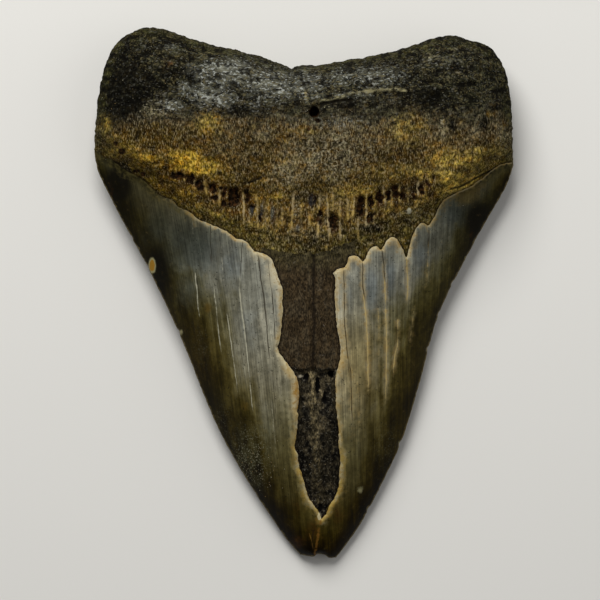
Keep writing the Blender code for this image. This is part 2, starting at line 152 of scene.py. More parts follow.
ENAMEL_NECK_RIGHT = [
    (6.8, 4.8), (7.9, 5.6), (9.1, 5.9), (10.1, 6.8), (10.3, 8), (11.3, 8.7), (12.7, 8.5), (13.7, 7.4),
    (14.4, 8), (15.1, 9.7), (15.9, 10.7), (17.1, 10.9), (18, 10), (18.7, 11.2), (19.5, 12.4),
    (20.7, 13.1), (21.9, 12.4), (22.8, 10.9), (23.6, 9.2), (24, 8.3), (24.5, 10.2), (25, 12.1),
    (25.7, 14.1), (26.7, 15.8), (27.9, 16.4), (29.1, 15.8), (30.1, 17), (30.8, 18.4), (31.5, 19.8),
    (32.7, 21.8), (34.2, 22.7), (36.6, 23.9), (38.5, 24.7), (40.4, 25.9), (42.3, 27.3), (44.3, 29),
    (46.2, 30.2), (48.6, 30.7),
]
ENAMEL_RUNS = [ENAMEL_NECK_LEFT, GAP_LEFT, GAP_RIGHT, ENAMEL_NECK_RIGHT]
LABIAL_ENAMEL_THICKNESS = 0.5
BROKEN_WALL = 0.45
MARGIN_SWAY = 0.2
MARGIN_SWAY_LENGTH = 0.8

# Closes that margin into a loop round the root, well outside the outline
AROUND_ROOT = [(60, 31), (60, 80), (-60, 80), (-60, 34)]

# Bare dentine: where it lies, the seam in it, and its lower part, chipped deeper but for a ridge
DENTINE_TOP = [(-12, 11), (-6, 9.9), (0, 9.2), (4, 9.6), (12, 12.5)]
DENTINE_STEP_Y = -17.6
DENTINE_X = 1.0
DENTINE_HALF = 11.0
DENTINE_STEP_RUN = 1.0
DENTINE_STEP_SOFTNESS = 0.6
DENTINE_DROP = 1.4
DENTINE_RIDGE = [(2, -19), (2.4, -30), (3.2, -42), (3.7, -52)]
DENTINE_RIDGE_RISE = 0.9
DENTINE_RIDGE_WIDTH = 1.3
DENTINE_SEAM = [(2.3, 11.5), (2.2, 2), (2.4, -8), (2, -17.2)]
DENTINE_SEAM_WIDTH = 0.4
DENTINE_SEAM_DEPTH = 0.12
DENTINE_HOLES = [
    (6.5, -18.9, 0.9, 0.8, 0.8), (3.2, -21.5, 0.5, 2.2, 0.6), (0.6, -19.6, 0.5, 0.9, 0.45),
    (4.9, -24.5, 0.5, 1.6, 0.4), (3.9, -50.6, 0.5, 1, 0.4),
]

# Vascular slots along the neck, as (x, y, half width, half length, depth), and how ragged they are
SLOTS = [
    (-29.5, 27.4, 1.9, 0.8, 0.7), (-26.6, 26.5, 1.1, 1.1, 0.8), (-24.3, 25.1, 1.1, 1.3, 1),
    (-21.2, 24.5, 1, 1.1, 0.9), (-20.8, 22.3, 0.7, 0.7, 0.6), (-18.6, 23.6, 0.6, 1.2, 0.8),
    (-18.7, 20.8, 0.7, 0.8, 0.8), (-16.3, 22.3, 1.4, 2.5, 1.4), (-13.2, 22.7, 0.7, 1.7, 0.8),
    (-12.2, 19.6, 0.5, 1, 0.5), (-10.2, 17.6, 0.5, 0.9, 0.4), (1.8, 21.6, 0.7, 1.6, 0.5),
    (3.6, 17.6, 0.6, 1.6, 0.6), (6.9, 16.5, 1.1, 1.9, 1), (13.2, 20, 0.9, 2.4, 1.3),
    (15.6, 21.3, 0.6, 1.6, 0.9), (15.7, 17.4, 0.8, 1.3, 0.9), (17.6, 22.6, 0.9, 1.8, 1),
    (19.6, 22.6, 0.6, 1.3, 0.9), (21.3, 23.5, 0.8, 1.5, 1.1), (23.1, 22.8, 0.6, 1.7, 1),
    (25.5, 23, 0.7, 0.9, 0.8), (27.4, 24.2, 0.6, 1, 0.8), (29.2, 25.4, 0.5, 0.6, 0.5),
]
SLOT_SQUARENESS = 3.0
SLOT_STEEPNESS = 0.38
SLOT_RAGGED = 0.9
PORE_RAGGED = 0.3
HOLE_RAGGED = 0.45
SLOT_FRINGE = 6.0
SLOT_BAND = [
    (-31, 27), (-24, 24), (-16, 20.9), (-7, 18.6), (0, 18.2), (8, 18.4), (14, 19.8), (22, 22.4),
    (29, 25.2),
]
SLOT_BAND_CORE = 2.3

# Pale ribs between the slots, as (x, lower end, upper end, strength)
RIBS = [
    (-27.9, 25.6, 28.4, 0.5), (-25.4, 24.6, 27.3, 0.4), (-23, 22.8, 26, 0.5), (-19.5, 20, 25.6, 0.5),
    (-18.1, 22.5, 24.9, 0.3), (-14.1, 16.6, 23.2, 0.9), (-12.7, 16.2, 18.3, 0.5), (-11, 14.8, 22.5, 0.7),
    (-8.8, 15.2, 21.1, 0.4), (-6.2, 15.2, 21, 0.3), (-5.1, 15.6, 20.2, 0.5), (-2.4, 15.2, 23.2, 0.9),
    (-0.6, 14.6, 20, 0.35), (1.1, 15.4, 18.6, 0.5), (3.7, 13.1, 22.8, 0.85), (5.4, 12.8, 22.8, 0.9),
    (6.8, 19.7, 23.5, 0.8), (8.4, 12.6, 21.9, 0.6), (10.1, 16.9, 23.2, 0.6), (11.7, 17.6, 22.8, 0.9),
    (12.5, 12.1, 17.6, 0.6), (14.6, 15.5, 23.5, 0.9), (16.3, 16, 19.4, 0.4), (18.6, 20, 24.9, 0.6),
    (20.3, 21.2, 24.6, 0.35), (22.2, 21.1, 25.2, 0.6), (24.3, 20.8, 25, 0.35), (26.7, 22.5, 25.9, 0.8),
    (5.1, 7.9, 11.4, 0.5), (7.5, 8, 11, 0.3),
]
RIB_WIDTH = 0.26
RIB_HEIGHT = 0.22
RIB_FOOT = 1.4 * RIB_WIDTH
RIB_COLOUR_EDGE = 1.5 * RIB_WIDTH
RIB_COLOUR_CORE = 0.2 * RIB_WIDTH
RIB_LEAN = 0.06
RIB_LEAN_TURN = 2.4
RIB_TAPER = 1.2
RIB_FAR = 2.0
FLUTE_DEPTH = 0.4
FLUTE_BEND = 0.25

# Crevices between knobs of bone, in a zone at the neck
CREVICE_DEPTH = 0.35
CREVICE_MIDDLE = 3.0
CREVICE_REACH = 7.5
CREVICE_BLEND = 3.0
CREVICE_KNOB = 0.5

# The nutrient foramen, small pores beside it, and the furrows that lead to it
FORAMEN_CENTRE = (2.4, 42.0)
FORAMEN_RADIUS = 1.5
FORAMEN_DEPTH = 4.0
FORAMEN_FLOOR_SHARE = 0.5
ROOT_PORES = [
    (3.2, 40, 0.7, 0.5, 0.5), (1, 38, 0.5, 0.4, 0.3), (-42.6, 33.2, 0.9, 0.7, 0.25),
    (-39.2, 28.6, 0.9, 0.5, 0.35), (-37.6, 27.9, 0.7, 0.5, 0.35), (-44, 35, 0.6, 0.5, 0.3),
]
FURROWS = [
    (0.5, 0.45, [(3.6, 43.2), (5.4, 44.1), (8.2, 44.7), (11.3, 45)]),
    (0.35, 0.5, [(-2.8, 52.4), (-1.1, 50.4), (0.2, 48), (1.6, 44.8)]),
    (0.45, 0.35, [(46.2, 29.8), (43.5, 28.6), (40, 26.9), (37, 25.2), (34.4, 24.3)]),
    (0.25, 0.4, [(-23, 50.4), (-17.5, 47.6), (-12, 46.2), (-6, 44.2)]),
    (0.25, 0.4, [(22, 46.3), (26, 46), (29.5, 45)]),
    (0.45, 0.34, [(-13.2, 25.7), (-11.9, 26), (-10, 26.9)]),
]
FURROW_FULL_DEPTH = 0.5
SHELF = [(4.1, 44.6), (8.6, 45.7), (15, 46.9), (20.3, 47.4), (23.6, 47)]
SHELF_RISE = 0.4
SHELF_WIDTH = 0.5

# The grain of bare bone and dentine; between two heights it gives way to a pitted crust
CRUST_LOW = 37.0
CRUST_HIGH = 45.0
CRUST_PITTING = 1.1
GRAIN_DEPTH = 1.1
GRAIN_FIBRES = 0.55
GRAIN_CRUMBS = 0.65
CRUST_CRUMBS = 0.4
PIT_CRUMBS = 0.7
PIT_LEVEL = -0.16
PIT_WALL = 0.35
CHIPPED_ROUGHNESS = 1.2
SMOOTH_RIM = 0.5
LABIAL_SMOOTH_RIM = 0.6

# The root's upper edge, along which its crust is layered
ROOT_TOP = [(-49.5, 61.5), (-36.3, 62.6), (-20, 58.2), (-2.8, 53.6), (16, 56), (35, 60.6), (49.5, 59)]

# Enamel cracks filled with pale sediment, and open dark ones: how strong, and the line downwards
PALE_CRACKS = [
    (0.6, [(1.3, -56.2), (1.7, -57.8), (2, -59.2), (2.3, -61)]),
    (0.3, [(-26.1, 17.6), (-25.7, 10.7), (-25.5, 5)]),
    (0.9, [(-25.5, 5), (-25.2, 2), (-25, -0.9), (-24.5, -5.9)]),
    (0.8, [(-21.2, 2), (-20.7, -2.3), (-20.3, -5.9), (-19.8, -10.6), (-19.2, -15.3)]),
    (1, [(-18, -4.5), (-17.2, -10.3), (-16.2, -17.6), (-15.5, -23.5)]),
    (1, [(-14.9, 4), (-14.9, -0.9), (-13.8, -9.5), (-12.9, -17.9), (-12.1, -26), (-11.5, -30.3)]),
    (1.3, [(13.9, 0), (14.8, -9.5), (15, -17.7), (15.1, -24.8)]),
    (1.1, [(18.9, 4), (19.3, -9.5), (19.3, -19.5), (19, -26)]),
    (1.3, [(24, 8.3), (24.3, 3.1), (24.2, -2.3)]),
    (0.5, [(29.1, 12.5), (29.1, 8.6), (28.7, 0.8)]),
    (1, [(22, -5.8), (22, -11), (21.2, -15.8), (21, -20.2)]),
    (0.6, [(17.4, -3), (17.6, -12), (17.4, -18)]),
    (0.5, [(26, -2), (25.2, -9), (24.6, -13)]),
    (0.5, [(12.4, -20), (12.9, -27), (12.9, -34)]),
    (0.5, [(-7.6, -25), (-7, -32), (-6.4, -38)]),
    (0.5, [(-19.2, 12), (-19, 6), (-18.6, 2)]),
]
DARK_CRACKS = [
    (1.2, [(-10.7, 9.4), (-10.2, 4.9), (-9.5, 0.2), (-8.9, -5.2), (-8.4, -11.3), (-7.7, -16.8)]),
    (0.9, [(-8.4, 8.2), (-8, 4.3), (-7.3, -1.6), (-6.9, -7.5), (-6.6, -13.4)]),
    (0.8, [(-21.8, 16), (-21.8, 11.9), (-21.6, 6)]),
    (0.7, [(-14.2, 12.3), (-14.6, 8), (-14.9, 3)]),
    (0.6, [(-7.4, -18), (-6.9, -24), (-6.4, -30)]),
    (1.2, [(9.3, 5.6), (9.4, 1.3), (9.5, -5.9), (10.1, -13.2), (10.6, -20.4)]),
    (1.6, [(13.7, 7.9), (13.8, 2), (14.2, -2)]),
    (1.4, [(18.1, 10.6), (18.7, 6), (19, 1)]),
    (1.2, [(23.9, 9), (24.2, 5)]),
    (0.9, [(29.3, 16.2), (29.2, 10)]),
    (0.8, [(9.9, -14.1), (10.9, -18.1), (11.2, -26.7), (11.6, -33.9)]),
    (1, [(2.3, -55.6), (2, -58.9), (2.4, -61.4)]),
]
TIP_SEAM = [(4, -53.4), (3.5, -55.4), (3.3, -57.8), (2.8, -60.2), (2.6, -61.6)]
TIP_SEAM_WIDTH = 0.4
LABIAL_CRACKS = [
    (0.9, [(-30, 16), (-26.5, 2), (-22, -14)]),
    (1, [(-14, 13), (-12, -4), (-8.5, -24), (-6, -34)]),
    (0.8, [(3, 11), (3.6, -8), (3.2, -22)]),
    (0.9, [(17, 12), (15, -6), (12.5, -20)]),
    (0.7, [(33, 16), (29.5, 3), (26.5, -9)]),
]
CRACK_SIDE = 0.25
CRACK_SWAY = 0.14
CRACK_SWAY_LENGTH = 2.2
CRACK_START = 0.04
CRACK_END = 0.22
CRACK_HALO = 0.8
CRACK_WHOLENESS = 0.95
CRACK_LEAST = 0.2
CRACK_END_STRENGTH = 0.25

# The broken enamel is thickest and its cream rim widest at the gap; both fade to the shoulders
SHOULDER_THICKNESS = 0.3
SHOULDER_CRUST = 2.4
MARGIN_CREAM_WIDTH = 1.3
MARGIN_CREAM_LEAST = 0.15
MARGIN_LINE_X = 20.0
MARGIN_LINE_WIDTH = 0.4
MARGIN_LINE_CREAM = 0.7
GLOW_REACH = 2.8
MARGIN_CREAM_REACH = 34.0
GAP_X = 2.0
GAP_NEAR_SHARE = 0.35
CRACK_HALO_CREAM = 0.6
CREAM_HALO_X = 4.0
CREAM_HALO_TOP = 14.0
CREAM_HALO_FADE = 10.0

# How far from its rim the labial enamel takes its palest colour, and how pale that is; darker to the rim
# partly as painted shade
LABIAL_INNER_REACH = 14.0
LABIAL_INNER_MOST = 0.7

# The enamel's growth lines run from tip to neck and spread a little to both sides
GROWTH_X = 2.1
GROWTH_LEAN = 0.06
GROWTH_SPREAD = 0.0037
GROWTH_DEPTH = 0.1

# Weathering painted by place, with some painted shadow among the black ones, as soft patches (x, y, half
# width, half height, strength)
PATCHES = {
    "pale": [
        (-18, 51, 9, 4.6, 1), (-8, 48.6, 8, 4.8, 0.95), (-24, 47, 5.5, 3.4, 0.9), (-28, 47.6, 2, 2, 0.9),
        (-31, 43.8, 3.4, 2, 0.9), (-11, 43.6, 4, 2.4, 0.5), (0.5, 48.5, 5.5, 4.5, 0.9),
        (16, 50.5, 11, 3.6, 0.7), (8, 39.8, 10, 2.6, 0.45), (32, 54, 8, 3, 0.4),
        (-31.2, 57.6, 3.6, 1, 0.7), (-21, 45.4, 7, 2.6, 1), (11.5, 46, 7, 1.2, 0.7),
        (9, 50.5, 4.5, 3, 0.75), (-7.8, 4, 2.2, 5.5, 1), (-9.5, -6, 1.8, 7, 0.7),
        (-2.6, -20.5, 1.2, 3, 0.5), (18, -12, 3, 10, 0.25),
    ],
    "dun": [
        (6, 32, 12, 7, 0.9), (-4, 28, 9, 4, 0.7), (6, 20.5, 7, 3, 0.5), (-1.8, 18.6, 1.2, 4, 1.2),
        (47, 36.5, 2.6, 4.5, 0.7), (38.2, 22.6, 3, 1.8, 1.5), (32.2, 39.2, 1.2, 3, 0.8),
        (40, 38, 1.3, 3.4, 0.8), (-35.5, 42.6, 4, 2.4, 0.9), (-7, 36, 8, 5, 0.4), (36, 52, 3, 2.4, 0.5),
        (37, 57, 3, 1.4, 0.5), (30, 55, 4, 2, 0.4), (26, 18.2, 4, 2.4, 0.8), (0, 13.2, 5, 1.6, 0.5),
        (18, 13.6, 3, 1.2, 0.5),
    ],
    "umber": [
        (-33.8, 36.2, 9.5, 2.6, 1.4), (20.9, 31.6, 4.8, 3.2, 1.4), (-14, 33, 6, 3, 0.4),
        (28, 34.6, 5, 2, 0.4),
    ],
    "warm": [
        (-33, 28, 14, 12, 1), (-14, 22, 8, 6, 0.6), (12.7, -16, 5, 14, 0.9), (-25, -14, 5, 12, 0.8),
        (46, 27, 4, 4, 1),
    ],
    "slate": [
        (-27, 11.5, 7.5, 8, 1.2), (-33.5, 16, 5, 6, 1), (-26.5, 1.5, 4, 6, 0.9), (37, 19, 4, 4, 0.8),
    ],
    "dust": [
        (-12.4, -38.5, 4.8, 7.5, 1), (-19, -30, 3, 6, 0.35), (19, -36, 4, 9, 0.3), (-24, -12, 3, 8, 0.3),
        (-10, -20, 4, 6, 0.3),
    ],
    "clear": [(-22, 1.5, 4.5, 7, 0.7), (-14, -17, 3.5, 8, 0.5), (22.5, 0, 3, 8, 0.4)],
    "black": [
        # Manganese black, but (9, 43.6) is a painted shadow under the shelf and (29, 45.5) partly a
        # painted shadow beyond it.
        (-42.5, 47.6, 7, 6.4, 1.5), (-27.5, 51.4, 4.5, 1.5, 0.9), (-37.5, 49, 4.5, 3, 1),
        (-41, 56, 4, 4, 0.6), (46, 45, 3, 5, 0.5), (29, 45.5, 7, 2.8, 0.9), (34.8, 39, 1.2, 2.6, 0.8),
        (42.2, 39.4, 1.2, 2.2, 0.8), (-14, 42.6, 5, 2.2, 0.7), (17, 15.2, 4, 1.4, 0.6),
        (9, 43.6, 4, 0.6, 1), (41, 56, 4, 1.6, 0.4), (2.4, 13.5, 1.6, 3, 0.4),
        (-43.6, 25.5, 3.6, 5, 1.5), (-34.5, 4.5, 3, 8, 1.4), (41, 17, 3.4, 4.8, 1.5),
        (38, 13, 2, 5, 0.5), (-41, 20.5, 3.4, 4.6, 0.7), (-36, 12.6, 2.6, 6, 0.5),
        (-21.5, -23.5, 4, 8, 0.65), (-27.5, -12, 3.4, 7, 0.5), (-10.5, -50, 3, 3.4, 0.6),
        (-4, -50.5, 2, 3.4, 0.5),
    ],
    "ochre": [
        (-25.2, 29.7, 5, 1.8, 2.4), (-27, 31.8, 4, 2.4, 0.8), (-22.2, 39, 3.8, 3.2, 0.7),
        (-46.6, 39.8, 2, 2.6, 0.85), (-42, 35, 4, 3, 0.7), (-37.5, 31.6, 4.5, 1.6, 0.5),
        (-26.6, 22.8, 2.6, 1, 0.7), (-19.5, 27, 3, 1.6, 0.5), (35.7, 31, 8, 2.4, 0.75),
        (36, 25.8, 7, 3, 1.2), (14, 18, 6, 1.8, 0.45), (-30, 23.6, 7, 2.2, 0.35), (-19, 18, 6, 2, 0.3),
        (35.7, 30.6, 1.2, 0.9, 1.2), (28.5, 27.6, 2.8, 1.2, 1.5), (15, 23, 10, 3.6, 0.6),
        (24, 38, 4.5, 5, 0.55), (42, 33.5, 5, 1.6, 0.5), (21, 28.5, 8, 3, 0.5), (23, 20.2, 3, 0.8, 0.8),
        (18, 19.4, 5, 1.2, 0.7), (-5.6, 22.5, 3.4, 1.2, 0.5), (1.6, 37.4, 2.2, 0.8, 0.5),
        (0.6, 46.5, 0.8, 2.4, 0.4), (-22.5, -3.5, 1.2, 1.7, 0.8), (-13.7, -26.4, 1.8, 2, 0.6),
        (-24, -20, 2.5, 3, 0.3), (-17, -27, 2.5, 3, 0.3),
    ],
    "cool": [
        (-12.2, 19, 0.8, 1.6, 1), (-9.8, 19.4, 0.6, 2.4, 1), (-7.3, 18.5, 0.7, 2.8, 1.1),
        (-1.4, 15.2, 0.7, 1.6, 0.9), (1.8, 21.6, 1.3, 2.2, 0.8), (19.8, 3.5, 2.2, 6, 0.9),
        (15.8, 1, 1.8, 6, 1), (27, 9, 2.4, 6, 0.7), (-24.5, 10, 6, 7, 0.75), (10.9, -1, 1, 6, 0.6),
        (35, 19, 4, 4.5, 0.8), (-17, 7, 3.5, 6, 0.7), (-12.5, -9, 3, 7, 0.5), (-8.5, -31, 3.5, 9, 0.5),
    ],
    "rust": [
        (-16, 19, 1.8, 0.8, 1), (-45.2, 22.5, 0.9, 5, 0.45), (-1.6, -23, 0.8, 4.5, 0.8),
        (2.4, -55.5, 2.4, 3.2, 0.7), (-5, 19, 3, 3, 0.35), (6.9, 15.2, 1.6, 1.6, 0.9),
        (-1.5, -50, 2, 3, 0.5), (8, -52, 1.6, 3.5, 0.7), (-1.5, -58.5, 2.4, 2, 0.7),
        (6, 24.5, 5, 1.2, 0.3), (-20, 40, 5, 2.5, 0.3), (12, 22, 3, 2.5, 0.35),
        (22.2, 32.4, 2.4, 2.4, 0.6), (-32, 53.4, 3, 2.4, 0.35), (-24.5, 35.6, 4, 1.4, 0.5),
        (39.5, 13.5, 0.9, 2, 0.5), (37.2, 22.4, 1.2, 1.4, 0.35),
    ],
    "glow": [
        (8.4, 4.4, 2.4, 1.6, 1.5), (8.6, -9, 2.2, 4.5, 0.9), (9.2, -15.5, 2.4, 4.5, 1.2),
        (8, -24, 1.8, 5, 0.7), (-5.2, -1, 1.4, 2.8, 1.1), (-5.6, -11, 1.6, 3.6, 1.2),
        (-3.2, -18, 2.6, 3.4, 1.6), (-1.9, -24.5, 2, 5.6, 1.6), (-2.2, -35, 1.4, 6, 0.8),
        (0, -47, 2, 5, 0.9), (8.4, -44, 2, 6, 0.9), (-9.5, 8.8, 3.4, 1.6, 1), (-7, 4.5, 2.6, 4.4, 1.3),
        (12, 8.2, 1.8, 1.4, 1.3), (16.6, 10.4, 1.8, 1.2, 1), (24.4, 10.6, 1, 3.6, 1.2),
        (28, 16.2, 1.6, 0.8, 0.6), (9.6, 7.2, 0.8, 1.4, 1), (3.8, -53.6, 2.4, 2, 0.8),
    ],
    "chip": [
        (-35.7, 6.5, 0.85, 1.8, 1.6), (-28.9, -9.2, 0.7, 0.9, 0.8), (35.1, 2.2, 0.4, 0.9, 0.8),
        (32, -5.2, 0.5, 1.1, 0.8), (38, 8.4, 0.4, 0.8, 0.6), (44, 19, 0.4, 0.8, 0.5),
        (28.9, -13.3, 0.4, 0.8, 0.6), (22.4, -35, 0.4, 0.8, 0.6), (15, -50.6, 0.5, 0.9, 0.55),
        (13.2, -46.2, 1.3, 1.5, 0.62), (3.7, -52.4, 0.4, 1.1, 1.5), (24.6, 19.2, 0.6, 0.8, 1.1),
        (-0.8, -19.4, 1, 0.5, 0.8), (7.4, -18.6, 0.6, 1.2, 0.7), (-38.5, 10.6, 0.4, 0.9, 0.5),
    ],
}

# Where sediment lies thickest, as patches again, and the least that a face must look up to hold it
SEDIMENT_PATCHES = [
    (-9.8, -40.5, 3.4, 4.5, 1.6), (-16, 21.5, 12, 3, 0.35), (18, 21, 12, 3.5, 0.35),
    (-10, 45, 34, 9, 0.25), (3, -40, 3, 9, 0.25), (40, 33, 6, 2, 0.3),
]
LEAST_UPTURN = 0.4
SEDIMENT_SEED = 7
GRAIN_LEAST = (0.45, 0.35, 0.3)
GRAIN_MOST = (1.25, 1.0, 0.7)
GRAIN_UNTURNED = (0.0, 0.0, 0.0)
GRAIN_TURNED = (0.6, 0.6, 2 * np.pi)

# How finely the faces are meshed
OUTLINE_STEP = 0.36
CONTOUR_STEP = 0.34
ROOT_GRID = 0.37
CROWN_GRID = 0.46
LABIAL_GRID = 0.66
GRID_CLEARANCE = 0.62
LEAST_GAP = 0.12
MARGIN_CLEARANCE = 0.3
ROOT_RINGS = (0.04, 0.14, 0.32, 0.62)
CROWN_RINGS = (0.22,)
LABIAL_RINGS = (0.06, 0.22, 0.5, 0.9)
RING_SHARE_KEPT = 0.9
CURVE_PIECES = 12
LINE_SAMPLE = 0.06
SAME_POINT = 1e-6
LEAST_SPAN = 1e-3

# The tooth's material slots, in the order in which its operator fills them
ENAMEL_SLOT, BONE_SLOT, DENTINE_SLOT = 0, 1, 2

# Weathered lumps, as (size across, height), and the margin in which they die away to the outline
ROOT_LUMPS = [(11, 0.9), (5, 0.45)]
CROWN_LUMPS = [(24, 0.5)]
LUMP_MARGIN = 4.0

# Noises, as (size across, size along, seed, strength); those of the second part are sized in bone grains
NOISE_SHIFT = 10.0
MOTTLES = {
    "wear": (1.6, 1.6, 17, 1.0), "nibbles": (0.6, 0.6, 18, 0.6), "wander": (2.0, 2.0, 26, 0.5),
    "ragged_x": (0.8, 1.2, 21, 1.0), "ragged_y": (0.8, 1.2, 22, 1.0), "rib_sway": (1.2, 2.0, 23, 0.35),
    "crack_breaks": (3.5, 3.5, 24, 0.9), "foramen_rim": (1.0, 1.0, 6, 0.15),
    "step": (2.6, 2.6, 4, 0.9), "step_teeth": (0.9, 0.9, 31, 0.6), "dentine_top": (0.9, 0.9, 5, 0.5),
    "knobs": (2.1, 1.7, 27, 1.0), "small_knobs": (1.0, 0.9, 28, 0.5), "flutes": (0.85, 4.0, 29, 1.4),
    "crust_edge": (6.0, 4.0, 19, 0.5), "growth": (2.4, 40.0, 13, 1.0),
    "cream": (4.0, 5.0, 25, 1.6), "cream_teeth": (1.3, 1.6, 32, 0.9), "labial_margin": (2.5, 2.5, 14, 0.5),

    "fibres": (1.0, 2.6, 9, 1.0), "crumbs": (1.8, 1.8, 10, 1.0),
    "crust": (5.6, 3.4, 12, 1.0), "fine_crust": (2.6, 1.7, 30, 0.8),
    "labial_fibres": (1.3, 3.0, 15, 0.45), "labial_crumbs": (2.2, 2.2, 16, 0.75),
}

# The stage: what the camera sees, and the lights as (size, place) in metres
CAMERA_LENS = 400.0
SENSOR_WIDTH = 36.0
VIEW_WIDTH = 141.2
VIEW_CENTRE = (-0.9, -1.6, 7.0)
NEAREST_SEEN = 0.01
KEY_LIGHT = (0.5, (-0.14, 0.50, 0.56))
FILL_LIGHT = (1.0, (0.60, 0.10, 0.50))
WORLD_COLOUR = "#f4f5f7"
WORLD_STRENGTH = 0.18


def linear(hex_colour):
    """The linear RGBA of an sRGB hex colour."""
    channels = [int(hex_colour[place:place + 2], 16) / 255 for place in (1, 3, 5)]
    toe, slope, shift, power = 0.04045, 12.92, 0.055, 2.4
    return (*(c / slope if c <= toe else ((c + shift) / (1 + shift)) ** power for c in channels), 1.0)


# The user's sizes and colours

def colour_property(name, hex_colour, description):
    return bpy.props.FloatVectorProperty(
        name=name, description=description, subtype="COLOR", size=4, min=0.0, max=1.0,
        default=linear(hex_colour),
    )


def length_property(name, millimetres, description):
    return bpy.props.FloatProperty(
        name=name, description=description, subtype="DISTANCE", unit="LENGTH", min=0.0,
        default=millimetres * MM, precision=5,
    )


def power_property(name, watts, description):
    return bpy.props.FloatProperty(
        name=name, description=description, unit="POWER", min=0.0, default=watts,
    )


class FossilToothSizes(bpy.types.PropertyGroup):
    enamel_thickness: length_property("Enamel thickness", 0.9, "Height of the broken enamel step")
    crack_depth: length_property("Crack depth", 0.14, "How deep the enamel cracks are cut")
    bone_grain: length_property("Bone grain", 0.55, "Width of one fibre of the root's bony grain")
    bone_relief: length_property("Bone relief", 0.22, "Depth of the root's weathered grain")
    striation: length_property("Enamel striation", 0.32, "Width of one growth line in the enamel")
    sediment_size: length_property("Sediment grain", 0.26, "Usual size of a sediment grain")
    sediment_density: bpy.props.FloatProperty(
        name="Sediment density", description="Grains per square centimetre where they lie thickest",
        min=0.0, default=60.0,
    )


class FossilToothColours(bpy.types.PropertyGroup):
    # Beside the gap the grey is partly a painted sheen, and near the edges the olive partly painted shade
    enamel_grey: colour_property("Enamel grey", "#7c7c72", "Polished enamel beside the gap")
    enamel_olive: colour_property("Enamel olive", "#4a4424", "Stained enamel near the edges")
    enamel_blue: colour_property("Enamel blue", "#646d72", "Cool patches in the enamel")
    cream: colour_property("Cream", "#b39d6c", "Broken enamel margins")
    root_black: colour_property("Root black", "#0f0e0a", "Upper root, blackened by manganese")
    root_grey: colour_property("Root grey", "#6c6c60", "Weathered pale film on the upper root")
    rust: colour_property("Rust", "#5e3716", "Iron stains on the root")
    root_ochre: colour_property("Root ochre", "#a88f42", "Iron-stained lower root")
    dentine: colour_property("Dentine", "#33291a", "Bare dentine in the gap")
    sediment: colour_property("Sediment", "#8f8870", "Sand grains left in the pores")


class FossilStageSettings(bpy.types.PropertyGroup):
    floor_colour: colour_property("Floor", "#dcdad4", "Plain pale floor")
    floor_half: length_property("Floor half width", 1500.0, "Half the side of the square floor")
    key_power: power_property("Key light", 6.3, "Power of the large soft light above the root")
    fill_power: power_property("Fill light", 1.3, "Power of the soft light at the right")


# Curves and noises in the plane of the tooth

def smooth_run(points, step):
    """Points every step or so along a Catmull-Rom curve through the given points, ends included."""
    points = np.array(points)
    padded = np.vstack([2 * points[0] - points[1], points, 2 * points[-1] - points[-2]])
    share = np.linspace(0.0, 1.0, CURVE_PIECES, endpoint=False)[:, None]
    dense = []
    for a, b, c, d in zip(padded, padded[1:], padded[2:], padded[3:]):
        bend = (3 * b - a - 3 * c + d) * share**3 + (2 * a - 5 * b + 4 * c - d) * share**2
        dense.append(0.5 * (2 * b + (c - a) * share + bend))
    dense = np.vstack([*dense, points[-1]])
    length = np.concatenate([[0.0], np.cumsum(np.hypot(*np.diff(dense, axis=0).T))])
    stations = np.linspace(0.0, length[-1], max(2, round(length[-1] / step) + 1))
    return np.column_stack([np.interp(stations, length, dense[:, axis]) for axis in (0, 1)])


def joined_runs(runs, step):
    """Smooth runs end to end, each shared corner once."""
    sampled = [smooth_run(run, step) for run in runs]
    return np.vstack([*(run[:-1] for run in sampled), sampled[-1][-1:]])


def station_height(stations, at):
    """A smooth curve through (place, height) stations, read at the given places."""
    place, height = np.array(stations).T
    slope = np.gradient(height, place)
    at = np.clip(at, place[0], place[-1])
    left = np.clip(np.searchsorted(place, at) - 1, 0, len(place) - 2)
    span = place[left + 1] - place[left]
    s = (at - place[left]) / span
    ends = height[left] * (1 - s) ** 2 * (1 + 2 * s) + height[left + 1] * s**2 * (3 - 2 * s)
    return ends + span * (slope[left] * s * (1 - s) ** 2 - slope[left + 1] * s**2 * (1 - s))


def smoothstep(value):
    value = np.clip(value, 0.0, 1.0)
    return value * value * (3 - 2 * value)


def quarter_round(share):
    """How high a rounded rim has risen, from 0 at its outer edge to 1 at its top."""
    return np.sqrt(1 - (1 - np.clip(share, 0.0, 1.0)) ** 2)


def nearness(distance, reach):
    """1 at no distance or on the far side, falling evenly to 0 at the reach."""
    return np.clip(1 - distance / reach, 0.0, 1.0)


def near_points(samples):
    """A search tree over points in the plane."""
    tree = kdtree.KDTree(len(samples))
    for number, (x, y) in enumerate(samples):
        tree.insert((x, y, 0.0), number)
    tree.balance()
    return tree


def distance_to(line, at):
    """Distance from each point to a line, which is sampled finely."""
    tree = near_points(smooth_run(line, LINE_SAMPLE))
    return np.array([tree.find((x, y, 0.0))[2] for x, y in at])


def soft_line(line, at, width):
    """1 on a line, falling softly to nothing about two widths away."""
    return np.exp(-((distance_to(line, at) / width) ** 2))


def inside(loop, at):
    """Whether each point lies inside a closed loop, by counting crossings."""
    crossings = np.zeros(len(at), int)
    for (x0, y0), (x1, y1) in zip(loop, np.roll(loop, -1, axis=0)):
        spans = (y0 > at[:, 1]) != (y1 > at[:, 1])
        if y0 != y1:
            crossings += spans & (at[:, 0] < x0 + (at[:, 1] - y0) * (x1 - x0) / (y1 - y0))
    return crossings % 2 == 1


def noise_at(at, size_x, size_y, seed):
    """Smooth noise from -1 to 1 with patches of the given size, the same each time."""
    shift = NOISE_SHIFT * seed
    return np.array([noise.noise(Vector((x / size_x + shift, y / size_y, seed))) for x, y in at])


def mottle(at, name, scale=1.0):
    """One of the named noises, with its sizes scaled."""
    size_x, size_y, seed, strength = MOTTLES[name]
    return strength * noise_at(at, size_x * scale, size_y * scale, seed)


